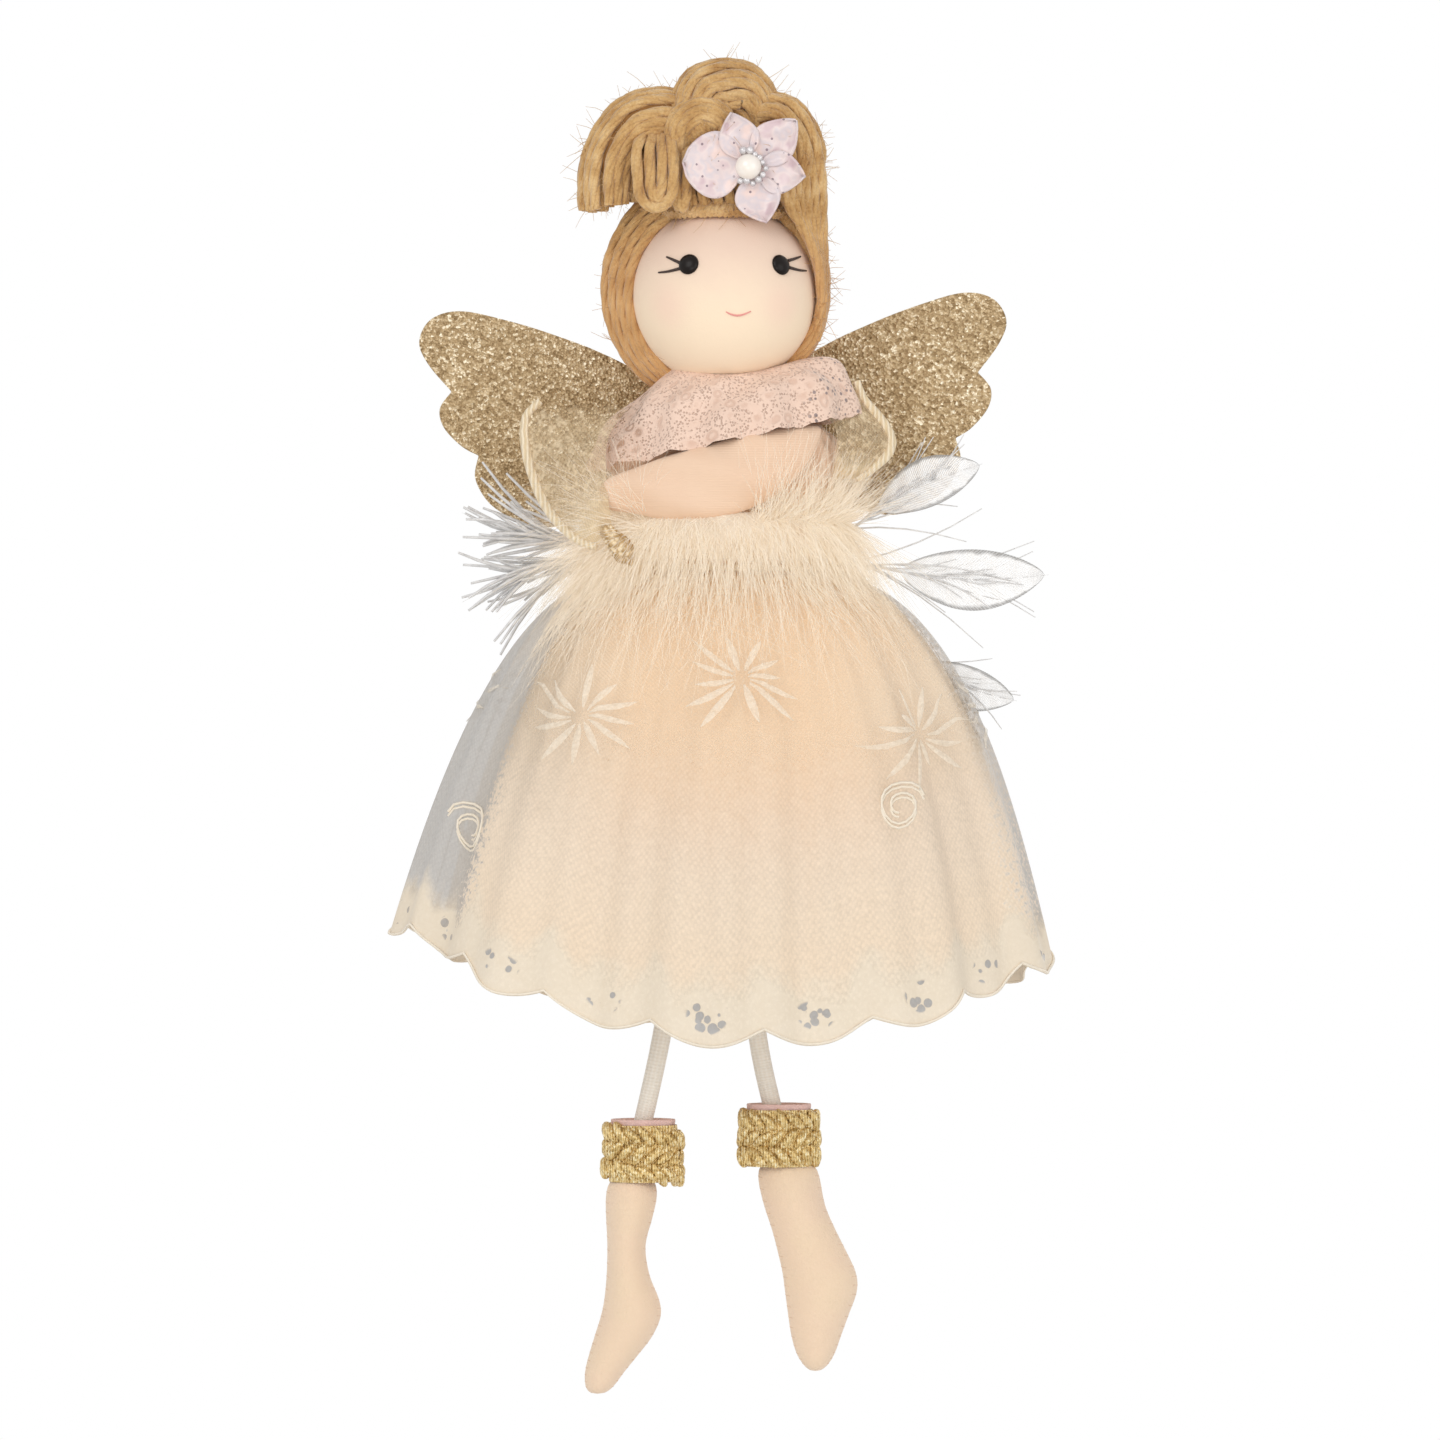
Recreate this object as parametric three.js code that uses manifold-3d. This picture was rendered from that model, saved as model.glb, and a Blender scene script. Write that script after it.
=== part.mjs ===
// Lace angel ornament: a hanging doll with a ball head, yarn hair, glitter wings, a lace skirt over a
// lining, and two cord legs that end in stuffed boots.
// Millimetres, +Z up. The origin is the crown of the hair, where the doll hangs, and it faces -Y.
import * as THREE from 'three';
import { mergeVertices } from 'three/addons/utils/BufferGeometryUtils.js';
import Module from 'manifold-3d';

const wasm = await Module();
wasm.setup();

// Driving dimensions
const CLEARANCE = 0.3;
const CLOTH = 0.8;

const HEAD_DIAMETER = 30;
const HEAD_RADIUS = HEAD_DIAMETER / 2;
const HEAD_SKIN = 0.7;
const NECK_HOLE_RADIUS = 3.2;
const NECK_PEG_RADIUS = 2.5;
const NECK_PEG_INSET = 9;
const EYE_RADIUS = 1.7;
const EYE_DOME = 0.9;
const EYE_SPACING = HEAD_RADIUS;
const EYE_RISE = 0.28 * HEAD_RADIUS;
const FACE_TURN = THREE.MathUtils.degToRad(8);

const HAIR_RISE = 1.5333 * HEAD_RADIUS;
const HAIR_THICKNESS = 2;
const HAIRLINE_RISE = 0.8533 * HEAD_RADIUS;
const HAIR_FRONT = 0.5;
const HAIR_NAPE_DROP = 0.7333 * HEAD_RADIUS;
const TOP_LOCK_RADIUS = 0.5733 * HEAD_RADIUS;
const TOP_LOCK_ROOT_RADIUS = 0.7333 * HEAD_RADIUS;
const LOCK_ROOT = 0.2 * HEAD_RADIUS;
const LOCK_LEAN = 0.0667 * HEAD_RADIUS;
const LEFT_LOCK_RADIUS = 0.42 * HEAD_RADIUS;
const RIGHT_LOCK_RADIUS = 0.3467 * HEAD_RADIUS;
const SIDE_STRAND_RADIUS = 2.6;
const THIN_STRAND_RADIUS = 1.1;

const FLOWER_X = 0.26 * HEAD_RADIUS;
const FLOWER_RISE = 0.3267 * HEAD_RADIUS;
const PEARL_RADIUS = 0.1533 * HEAD_RADIUS;
const PETAL_THICKNESS = 1.2;

const NECK_GAP = 2;
const TORSO_HEIGHT = 43;
const NECK_HALF_WIDTH = 5;
const CHEST_HALF_WIDTH = 17.5;
const CHEST_HALF_DEPTH = 8;
const WAIST_HALF_WIDTH = 14;
const WAIST_HALF_DEPTH = 8;
const SHOULDER_DROP = 3;
const BODICE_DROP = 6;
const CHEST_DROP = 11;
const BODICE_LENGTH = 12;
const WAIST_DROP = 28.5;
const HIP_HALF_WIDTH = 10;
const HIP_HALF_DEPTH = 7;
const COLLAR_HALF_WIDTH = 22;
const COLLAR_NECK_HALF_WIDTH = 8;
const COLLAR_NECK_HALF_DEPTH = 6.5;
const COLLAR_LENGTH = 9;

const LEFT_RUFFLE_HALF_WIDTH = 13.4;
const LEFT_RUFFLE_HALF_HEIGHT = 17;
const LEFT_RUFFLE_DROP = 7;
const RIGHT_RUFFLE_HALF_WIDTH = 10;
const RIGHT_RUFFLE_HALF_HEIGHT = 9.5;
const RIGHT_RUFFLE_DROP = 5;
const RIM_CORD_RADIUS = 0.8;
const RIM_LEAN = 14;
const CUFF_PATCH_RADIUS = 2.8;

const BAND_HALF_WIDTH = 25;
const BAND_HALF_DEPTH = 16;
const BAND_HEIGHT = 8;
const TIE_HEIGHT = 1.4;
const TIE_THICKNESS = 1.6;
const FEATHER_LENGTH = 24;
const FEATHER_THICKNESS = 0.8;
const FEATHER_BACK = 2;

const SKIRT_LENGTH = 61;
const SKIRT_FRONT_EXTRA = 14.7;
const SKIRT_SIDE_SLOPE = 2.85;
const SKIRT_HEM_HALF_WIDTH = 52.2;
const SKIRT_HEM_HALF_DEPTH = 30;
const FOLD_COUNT = 9;
const FOLD_DEPTH = 1.6;
const SCALLOP_COUNT = 18;
const SCALLOP_DEPTH = 3;
const SCALLOP_TURN = THREE.MathUtils.degToRad(-3);
const UNDERSKIRT_SHORTER = 5;
const UNDERSKIRT_HEM_HALF_WIDTH = 0.862 * SKIRT_HEM_HALF_WIDTH;
const UNDERSKIRT_HEM_HALF_DEPTH = 0.867 * SKIRT_HEM_HALF_DEPTH;
const UNDERSKIRT_SHIFT = 2;

const WING_THICKNESS = 1.2;
const WING_HALF_SPAN = 48;
const WING_RISE = 16.4;
const WING_TILT = THREE.MathUtils.degToRad(-2.1);
const WING_SHIFT = -2;

const LEFT_LEG_LENGTH = 72.5;
const RIGHT_LEG_LENGTH = 70;
const LEFT_HIP_OUT = 4;
const RIGHT_HIP_OUT = 3;
const CORD_RADIUS = 1.5;
const HIP_PLAY = 0.6;
const BOOT_PLAY = 0.95;
const CORD_STEP = 5;
const BOOT_LENGTH = 34;
const BOOT_WIDTH = 9;
const BOOT_HALF_DEPTH = 4.4;
const CUFF_HALF_WIDTH = 6.9;
const CUFF_HALF_DEPTH = 5.6;
const CUFF_WALL = 2;
const CUFF_HEIGHT = 10;
const CUFF_BULGE = 0.6;

// Levels that follow from the driving dimensions
const HEAD_TOP = -HAIR_RISE;
const HEAD_Z = HEAD_TOP - HEAD_RADIUS;
const CAP_RADIUS = HEAD_RADIUS + CLEARANCE + HAIR_THICKNESS;
const HAIRLINE_FRONT = Math.sqrt(CAP_RADIUS ** 2 - HAIRLINE_RISE ** 2 - FLOWER_X ** 2);
const FLOWER_FRONT = HAIRLINE_FRONT + PETAL_THICKNESS / 2 + CLEARANCE;
const TORSO_TOP = HEAD_Z - HEAD_RADIUS - NECK_GAP;
const TORSO_BOTTOM = TORSO_TOP - TORSO_HEIGHT;
const BODICE_TOP = TORSO_TOP - BODICE_DROP;
const BODICE_BOTTOM = BODICE_TOP - BODICE_LENGTH;
const BAND_TOP = BODICE_BOTTOM - CLEARANCE;
const TIE_TOP = BAND_TOP - BAND_HEIGHT - CLEARANCE;
const SKIRT_TOP = TIE_TOP - TIE_HEIGHT - CLEARANCE;
const UNDERSKIRT_TOP = SKIRT_TOP - CLEARANCE;
const HIP_Z = TORSO_BOTTOM - HIP_PLAY;
const WING_FRONT = CHEST_HALF_DEPTH + 2 * (CLEARANCE + CLOTH) + CLEARANCE;

const group = new THREE.Group();

const FINISHES = {
  skin: [0xf0dac3, 0.85],
  bead: [0x241a16, 0.2],
  yarn: [0xcda569, 0.9],
  petal: [0xe1cdd2, 0.4],
  pearl: [0xf3ead8, 0.25],
  wood: [0xd9bd93, 0.7],
  stuffing: [0xeed0b2, 0.9],
  satin: [0xeed0b2, 0.5],
  lace: [0xe8d9c4, 0.85],
  sheer: [0xe6ddd0, 0.6],
  cord: [0xece0c6, 0.8],
  feather: [0xf2f1ef, 0.9],
  glitter: [0xc3a578, 0.35],
  felt: [0xeed0b2, 0.9],
  tinsel: [0xcdaa5f, 0.35],
  lining: [0xefc9c4, 0.8],
};

// Names a closed geometry and adds it to the doll with its finish.
function add(name, geometry, finish) {
  const [color, roughness] = FINISHES[finish];
  const material = new THREE.MeshStandardMaterial({ color, roughness, metalness: 0 });
  const mesh = new THREE.Mesh(geometry, material);
  mesh.name = name;
  group.add(mesh);
  return mesh;
}

// Turns the faces of a closed geometry outwards and merges its shared vertices.
function closed(geometry) {
  geometry.deleteAttribute('normal');
  geometry.deleteAttribute('uv');
  const merged = mergeVertices(geometry, 1e-3);
  const position = merged.getAttribute('position');
  const index = Array.from(merged.getIndex().array);
  const [a, b, c] = [new THREE.Vector3(), new THREE.Vector3(), new THREE.Vector3()];
  const kept = [];
  let volume = 0;
  for (let i = 0; i < index.length; i += 3) {
    const [p, q, r] = index.slice(i, i + 3);
    if (p === q || q === r || r === p) continue;
    a.fromBufferAttribute(position, p);
    b.fromBufferAttribute(position, q);
    c.fromBufferAttribute(position, r);
    volume += a.dot(b.cross(c));
    kept.push([p, q, r]);
  }
  const faces = volume < 0 ? kept.map(([p, q, r]) => [p, r, q]) : kept;
  merged.setIndex(faces.flat());
  return merged;
}

// Cuts other closed geometries out of one.
function cut(geometry, ...tools) {
  const solid = (shape) => new wasm.Manifold(new wasm.Mesh({
    numProp: 3,
    vertProperties: new Float32Array(shape.getAttribute('position').array),
    triVerts: new Uint32Array(shape.getIndex().array),
  }));
  const result = tools.reduce((left, tool) => left.subtract(solid(tool)), solid(geometry));
  const mesh = result.getMesh();
  const shape = new THREE.BufferGeometry();
  shape.setAttribute('position', new THREE.Float32BufferAttribute(mesh.vertProperties, 3));
  shape.setIndex(Array.from(mesh.triVerts));
  return shape;
}

// Moves every vertex of a geometry by a rule.
function reshape(geometry, rule) {
  const position = geometry.getAttribute('position');
  const point = new THREE.Vector3();
  for (let i = 0; i < position.count; i += 1) {
    point.fromBufferAttribute(position, i);
    const moved = rule(point, i);
    position.setXYZ(i, moved.x, moved.y, moved.z);
  }
  return geometry;
}

// A lock or limb: a round body that swells and tapers along a curve and has rounded ends.
function lobe(points, radii, depthRatio = 1, grow = 0) {
  const SIDES = 12;
  const STEPS = 12;
  const END_BLUNTNESS = 5;
  const path = new THREE.CatmullRomCurve3(points.map(([x, y, z]) => new THREE.Vector3(x, y, z)));
  const swell = new THREE.SplineCurve(radii.map((radius, i) => new THREE.Vector2(i, radius)));
  const ball = new THREE.SphereGeometry(1, SIDES, STEPS);
  const depth = new THREE.Vector3(0, 1, 0);
  const shaped = reshape(ball, (point) => {
    const along = Math.acos(THREE.MathUtils.clamp(point.y, -1, 1)) / Math.PI;
    const turn = Math.atan2(point.z, point.x);
    const tangent = path.getTangent(along);
    const side = new THREE.Vector3().crossVectors(tangent, depth).normalize();
    const back = new THREE.Vector3().crossVectors(side, tangent);
    const blunt = Math.sqrt(Math.max(0, 1 - Math.abs(2 * along - 1) ** END_BLUNTNESS));
    const radius = (swell.getPoint(along).y + grow) * blunt;
    return path.getPoint(along)
      .addScaledVector(side, radius * Math.cos(turn))
      .addScaledVector(back, radius * depthRatio * Math.sin(turn));
  });
  return closed(shaped);
}

// A point on an oval round the doll; angle 0 faces the front and a quarter turn faces +X.
function onOval(halfWidth, halfDepth, angle, z) {
  return new THREE.Vector3(halfWidth * Math.sin(angle), -halfDepth * Math.cos(angle), z);
}

// A closed wall round the doll, open at its top and bottom: place(side, level, angle) gives its points,
// with side 0 outside and 1 inside.
function wall(levels, segments, place, start = 0) {
  const outside = Array.from({ length: levels + 1 }, (_, level) => [0, level]);
  const inside = outside.map(([, level]) => [1, levels - level]);
  const loop = [...outside, ...inside, outside[0]];
  const lathe = new THREE.LatheGeometry(loop.map((_, i) => new THREE.Vector2(1, i)), segments);
  return closed(reshape(lathe, (_, i) => {
    const turn = (Math.floor(i / loop.length) % segments) / segments;
    const [side, level] = loop[i % loop.length];
    return place(side, level, start + turn * 2 * Math.PI);
  }));
}

// A wall from a list of rows [halfWidth, halfDepth, z] of its outside.
function ovalWall(rows, thickness, segments) {
  return wall(rows.length - 1, segments, (side, level, angle) => {
    const [halfWidth, halfDepth, z] = rows[level];
    return onOval(halfWidth - side * thickness, halfDepth - side * thickness, angle, z);
  });
}

// A filled oval body from a list of rows [halfWidth, halfDepth, z, middle x].
function ovalBody(rows, segments, grow = 0) {
  const first = rows[0];
  const last = rows[rows.length - 1];
  const loop = [[0, 0, first[2] + grow, first[3]], ...rows.map((row, i) => {
    const lift = i === 0 ? grow : i === rows.length - 1 ? -grow : 0;
    return [row[0] + grow, row[1] + grow, row[2] + lift, row[3]];
  }), [0, 0, last[2] - grow, last[3]]];
  const profile = loop.map(([halfWidth], i) => new THREE.Vector2(halfWidth, i));
  const lathe = new THREE.LatheGeometry(profile, segments);
  return closed(reshape(lathe, (_, i) => {
    const turn = (Math.floor(i / loop.length) % segments) / segments;
    const [halfWidth, halfDepth, z, middle = 0] = loop[i % loop.length];
    const point = onOval(halfWidth, halfDepth, turn * 2 * Math.PI, z);
    point.x += middle;
    return point;
  }));
}

// A flat panel drawn in the XZ plane, with its front at y = front.
function panel(shape, front, thickness, curveSegments = 4) {
  const plate = new THREE.ExtrudeGeometry(shape, { depth: thickness, bevelEnabled: false, curveSegments });
  plate.rotateX(Math.PI / 2);
  plate.translate(0, front, 0);
  return closed(plate);
}

// A round tube along a curve.
function tube(path, radius, steps, sides = 8) {
  const section = new THREE.Shape();
  for (let i = 0; i < sides; i += 1) {
    const turn = (i / sides) * 2 * Math.PI;
    const [x, y] = [radius * Math.cos(turn), radius * Math.sin(turn)];
    if (i === 0) section.moveTo(x, y);
    else section.lineTo(x, y);
  }
  return closed(new THREE.ExtrudeGeometry(section, { extrudePath: path, steps, bevelEnabled: false }));
}

// Head: a core ball under a cloth skin that is gathered round the neck peg
function makeHead() {
  const SEGMENTS = 20;
  const POINTS = 9;
  const arc = (radius, hole) => Array.from({ length: POINTS + 1 }, (_, i) => {
    const angle = (i / POINTS) * (Math.PI - Math.asin(hole / radius));
    return new THREE.Vector2(radius * Math.sin(angle), radius * Math.cos(angle));
  });
  const skinProfile = [
    ...arc(HEAD_RADIUS, NECK_HOLE_RADIUS),
    ...arc(HEAD_RADIUS - HEAD_SKIN, NECK_HOLE_RADIUS).reverse(),
  ];
  const skin = new THREE.LatheGeometry(skinProfile, SEGMENTS);
  skin.rotateX(Math.PI / 2);
  skin.translate(0, 0, HEAD_Z);

  const coreRadius = HEAD_RADIUS - HEAD_SKIN - CLEARANCE;
  const core = new THREE.SphereGeometry(coreRadius, SEGMENTS, POINTS);
  core.rotateX(Math.PI / 2);
  core.translate(0, 0, HEAD_Z);
  const pegTop = HEAD_Z - coreRadius + NECK_PEG_INSET;
  const pegBottom = TORSO_TOP - NECK_PEG_INSET;
  const peg = (grow) => {
    const rod = new THREE.CylinderGeometry(
      NECK_PEG_RADIUS + grow, NECK_PEG_RADIUS + grow, pegTop - pegBottom + 2 * grow, 12);
    rod.rotateX(Math.PI / 2);
    rod.translate(0, 0, (pegTop + pegBottom) / 2);
    return closed(rod);
  };
  add('head_skin', closed(skin), 'skin');
  add('head_core', cut(closed(core), peg(CLEARANCE)), 'wood');
  add('neck_peg', peg(0), 'wood');
  return peg(CLEARANCE);
}

// Eyes: bead domes on the cloth, looking a little to the right
function makeEyes() {
  for (const [name, side] of [['eye_left', -1], ['eye_right', 1]]) {
    const x = side * EYE_SPACING / 2;
    const reach = Math.hypot(x, EYE_RISE);
    const out = new THREE.Vector3(x, -Math.sqrt(HEAD_RADIUS ** 2 - reach ** 2), EYE_RISE).normalize();
    out.applyAxisAngle(new THREE.Vector3(0, 0, 1), FACE_TURN);
    const bead = new THREE.LatheGeometry([
      new THREE.Vector2(0, 0),
      new THREE.Vector2(EYE_RADIUS, 0),
      new THREE.Vector2(EYE_RADIUS * Math.SQRT1_2, EYE_DOME * Math.SQRT1_2),
      new THREE.Vector2(0, EYE_DOME),
    ], 12);
    bead.applyQuaternion(new THREE.Quaternion().setFromUnitVectors(new THREE.Vector3(0, 1, 0), out));
    bead.translate(...out.multiplyScalar(HEAD_RADIUS + CLEARANCE).toArray());
    bead.translate(0, 0, HEAD_Z);
    add(name, closed(bead), 'bead');
  }
}

// Hair: a yarn cap over the back and top of the head, three locks on top and a bundle down each side
function makeHair() {
  const ball = (radius) => {
    const sphere = new THREE.SphereGeometry(radius, 20, 12);
    sphere.rotateX(Math.PI / 2);
    sphere.translate(0, 0, HEAD_Z);
    return closed(sphere);
  };
  const faceSize = 2 * CAP_RADIUS;
  const face = (grow) => {
    const block = new THREE.BoxGeometry(2 * faceSize, faceSize, faceSize);
    block.translate(0, HAIR_FRONT - grow - faceSize / 2, HEAD_Z + HAIRLINE_RISE - grow - faceSize / 2);
    return closed(block);
  };
  const nape = new THREE.BoxGeometry(2 * faceSize, 2 * faceSize, faceSize);
  nape.translate(0, 0, HEAD_Z - HAIR_NAPE_DROP - faceSize / 2);
  const grownHead = ball(HEAD_RADIUS + CLEARANCE);
  add('hair_cap', cut(ball(CAP_RADIUS), grownHead, face(0), closed(nape)), 'yarn');

  const grownCap = cut(ball(CAP_RADIUS + CLEARANCE), face(CLEARANCE));
  const top = (grow) => {
    const root = HEAD_TOP - LOCK_ROOT;
    return lobe([
      [-LOCK_LEAN, -LOCK_LEAN, root - grow],
      [-LOCK_LEAN / 2, -1.5 * LOCK_LEAN, root / 2],
      [0, -LOCK_LEAN, grow],
    ], [TOP_LOCK_ROOT_RADIUS, TOP_LOCK_RADIUS, TOP_LOCK_RADIUS * 0.9], 0.9, grow);
  };
  add('hair_lock_top', cut(top(0), grownCap, grownHead), 'yarn');
  const grownTop = top(CLEARANCE);
  // The points of a drooping lock are shares of the head radius: sideways, back, and over the head's top
  const drooping = (points, radius, depthRatio) => {
    const placed = points.map(([x, y, rise]) => {
      return [x * HEAD_RADIUS, y * HEAD_RADIUS, HEAD_TOP + rise * HEAD_RADIUS];
    });
    const lock = lobe(placed, [radius, radius, radius, radius * 0.8], depthRatio);
    return cut(lock, grownTop, grownCap, grownHead);
  };
  add('hair_lock_left', drooping([
    [-0.333, -0.067, 0.7], [-0.767, -0.133, 0.787], [-1.107, -0.167, 0.467], [-1.173, -0.167, -0.133],
  ], LEFT_LOCK_RADIUS, 1.2), 'yarn');
  add('hair_lock_right', drooping([
    [0.4, -0.067, 0.667], [0.7, -0.133, 0.787], [0.8, -0.2, 0.433], [0.813, -0.2, -0.133],
  ], RIGHT_LOCK_RADIUS, 1.3), 'yarn');

  const strand = (side, radius) => {
    const beside = (angle) => {
      const reach = HEAD_RADIUS + CLEARANCE + radius;
      const x = side * reach * Math.cos(angle);
      return [x, HAIR_FRONT - CLEARANCE - radius, HEAD_Z + reach * Math.sin(angle)];
    };
    return lobe([0.62, 0.25, -0.15, -0.55, -0.85].map(beside), [radius, radius, radius, radius * 0.8]);
  };
  const bundle = (radius, side) => cut(strand(side, radius), grownHead, grownCap);
  add('hair_side_left', bundle(SIDE_STRAND_RADIUS, -1), 'yarn');
  add('hair_side_right', bundle(THIN_STRAND_RADIUS, 1), 'yarn');
}

// Hair flower: five cloth petals round a pearl, fixed to the front of the locks
function makeFlower() {
  // Name, direction in degrees, then half length and half width as shares of the pearl radius
  const PETALS = [
    ['hair_petal_left', 176, 1.566, 1.913],
    ['hair_petal_top', 108, 1.305, 1.131],
    ['hair_petal_upper_right', 44, 1.609, 1.087],
    ['hair_petal_right', -10, 1.348, 1.131],
    ['hair_petal_bottom', -72, 1.392, 1.218],
  ];
  for (const [name, degrees, long, wide] of PETALS) {
    const halfLength = long * PEARL_RADIUS;
    const halfWidth = wide * PEARL_RADIUS;
    const out = PEARL_RADIUS + CLEARANCE + halfLength;
    const petal = new THREE.SphereGeometry(1, 12, 6);
    petal.scale(halfLength, halfWidth, PETAL_THICKNESS / 2);
    petal.translate(out, 0, 0);
    petal.rotateZ(THREE.MathUtils.degToRad(degrees));
    petal.rotateX(Math.PI / 2);
    petal.translate(FLOWER_X, -FLOWER_FRONT, HEAD_TOP + FLOWER_RISE);
    add(name, closed(petal), 'petal');
  }
  const pearl = new THREE.SphereGeometry(PEARL_RADIUS, 14, 8);
  pearl.translate(FLOWER_X, -FLOWER_FRONT, HEAD_TOP + FLOWER_RISE);
  add('hair_pearl', closed(pearl), 'pearl');
}

// Torso: a stuffed body that swells at the chest and tapers to the hips
const TORSO_ROWS = [
  [NECK_HALF_WIDTH, NECK_HALF_WIDTH, TORSO_TOP],
  [0.743 * CHEST_HALF_WIDTH, 0.875 * CHEST_HALF_DEPTH, TORSO_TOP - SHOULDER_DROP],
  [0.943 * CHEST_HALF_WIDTH, CHEST_HALF_DEPTH, BODICE_TOP],
  [CHEST_HALF_WIDTH, CHEST_HALF_DEPTH, TORSO_TOP - CHEST_DROP],
  [WAIST_HALF_WIDTH, WAIST_HALF_DEPTH, BODICE_BOTTOM],
  [WAIST_HALF_WIDTH, WAIST_HALF_DEPTH, TORSO_TOP - WAIST_DROP],
  [HIP_HALF_WIDTH, HIP_HALF_DEPTH, TORSO_BOTTOM],
];

function makeTorso(pegHole) {
  add('torso_core', cut(ovalBody(TORSO_ROWS, 28), pegHole), 'stuffing');
  const grow = CLEARANCE + CLOTH;
  const bodice = TORSO_ROWS.slice(2, 5).map(([width, depth, z]) => [width + grow, depth + grow, z]);
  add('bodice_wrap', ovalWall(bodice, CLOTH, 28), 'satin');
}

// Lace collar: a wide ring of lace round the neck that lies over the shoulders and the bodice's top
const COLLAR_HALF_DEPTH = CHEST_HALF_DEPTH + 2 * (CLEARANCE + CLOTH);
const COLLAR_ROWS = [
  [COLLAR_NECK_HALF_WIDTH, COLLAR_NECK_HALF_DEPTH, TORSO_TOP + CLEARANCE],
  [0.943 * CHEST_HALF_WIDTH, 0.941 * COLLAR_HALF_DEPTH, TORSO_TOP - SHOULDER_DROP],
  [0.927 * COLLAR_HALF_WIDTH, COLLAR_HALF_DEPTH, BODICE_TOP],
  [COLLAR_HALF_WIDTH, COLLAR_HALF_DEPTH, TORSO_TOP - COLLAR_LENGTH],
];

function makeCollar() {
  add('lace_collar', ovalWall(COLLAR_ROWS, CLOTH, 28), 'lace');
}

// Feather band: a fluffy ring round the waist, over the tie that gathers the skirts
const BAND_LEVELS = 6;

function bandRow(level) {
  const bulge = Math.sin((Math.PI * level) / BAND_LEVELS);
  const inside = WAIST_HALF_WIDTH + CLEARANCE + TIE_THICKNESS;
  const insideDepth = WAIST_HALF_DEPTH + CLEARANCE + TIE_THICKNESS;
  return [
    inside + (BAND_HALF_WIDTH - inside) * bulge,
    insideDepth + (BAND_HALF_DEPTH - insideDepth) * bulge,
    BAND_TOP - (BAND_HEIGHT * level) / BAND_LEVELS,
  ];
}

const BAND_ROWS = Array.from({ length: BAND_LEVELS + 1 }, (_, level) => bandRow(level));

function makeWaist() {
  const inner = [WAIST_HALF_WIDTH + CLEARANCE, WAIST_HALF_DEPTH + CLEARANCE];
  const band = wall(BAND_LEVELS, 28, (side, level, angle) => {
    const [halfWidth, halfDepth, z] = BAND_ROWS[level];
    return side ? onOval(inner[0], inner[1], angle, z) : onOval(halfWidth, halfDepth, angle, z);
  });
  add('feather_band', band, 'feather');
  const tie = [TIE_TOP, TIE_TOP - TIE_HEIGHT].map((z) => {
    return [inner[0] + TIE_THICKNESS, inner[1] + TIE_THICKNESS, z];
  });
  add('waist_tie', ovalWall(tie, TIE_THICKNESS, 28), 'cord');
}

// Skirts: two bells of cloth gathered at the waist, with the same main folds; the outer one has a
// scalloped hem, and both hang longer in front and behind than at the sides
const SKIRT_LEVELS = 7;
const SKIRT_SEGMENTS = 72;
const UNDERSKIRT_SEGMENTS = 54;

const OUTER_SKIRT = {
  top: SKIRT_TOP,
  topHalfWidth: WAIST_HALF_WIDTH + 2 * (CLEARANCE + CLOTH),
  topHalfDepth: WAIST_HALF_DEPTH + 2 * (CLEARANCE + CLOTH),
  hemHalfWidth: SKIRT_HEM_HALF_WIDTH,
  hemHalfDepth: SKIRT_HEM_HALF_DEPTH,
  shift: 0,
  shorter: 0,
  scallop: SCALLOP_DEPTH,
};
const INNER_SKIRT = {
  top: UNDERSKIRT_TOP,
  topHalfWidth: WAIST_HALF_WIDTH + CLEARANCE + CLOTH,
  topHalfDepth: WAIST_HALF_DEPTH + CLEARANCE + CLOTH,
  hemHalfWidth: UNDERSKIRT_HEM_HALF_WIDTH,
  hemHalfDepth: UNDERSKIRT_HEM_HALF_DEPTH,
  shift: UNDERSKIRT_SHIFT,
  shorter: UNDERSKIRT_SHORTER,
  scallop: 0,
};

function hemDrop(skirt, angle) {
  const lobeWave = Math.abs(Math.cos((SCALLOP_COUNT / 2) * (angle - SCALLOP_TURN)));
  const length = SKIRT_LENGTH + SKIRT_FRONT_EXTRA * Math.cos(angle) ** 2 + SKIRT_SIDE_SLOPE * Math.sin(angle);
  return length - skirt.shorter - skirt.scallop * (1 - lobeWave);
}

function skirtPoint(skirt, inset, flare, angle) {
  const fold = FOLD_DEPTH * flare * Math.cos(FOLD_COUNT * (angle - SCALLOP_TURN));
  const halfWidth = skirt.topHalfWidth + (skirt.hemHalfWidth - skirt.topHalfWidth) * flare + fold - inset;
  const halfDepth = skirt.topHalfDepth + (skirt.hemHalfDepth - skirt.topHalfDepth) * flare + fold - inset;
  const point = onOval(halfWidth, halfDepth, angle, skirt.top - hemDrop(skirt, angle) * flare ** 2);
  point.x += skirt.shift * flare;
  return point;
}

function makeSkirts() {
  for (const [name, skirt, finish, segments] of [
    ['lace_overskirt', OUTER_SKIRT, 'lace', SKIRT_SEGMENTS],
    ['underskirt', INNER_SKIRT, 'satin', UNDERSKIRT_SEGMENTS],
  ]) {
    add(name, wall(SKIRT_LEVELS, segments, (side, level, angle) => {
      return skirtPoint(skirt, side * CLOTH, level / SKIRT_LEVELS, angle);
    }, SCALLOP_TURN), finish);
  }
}

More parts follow.
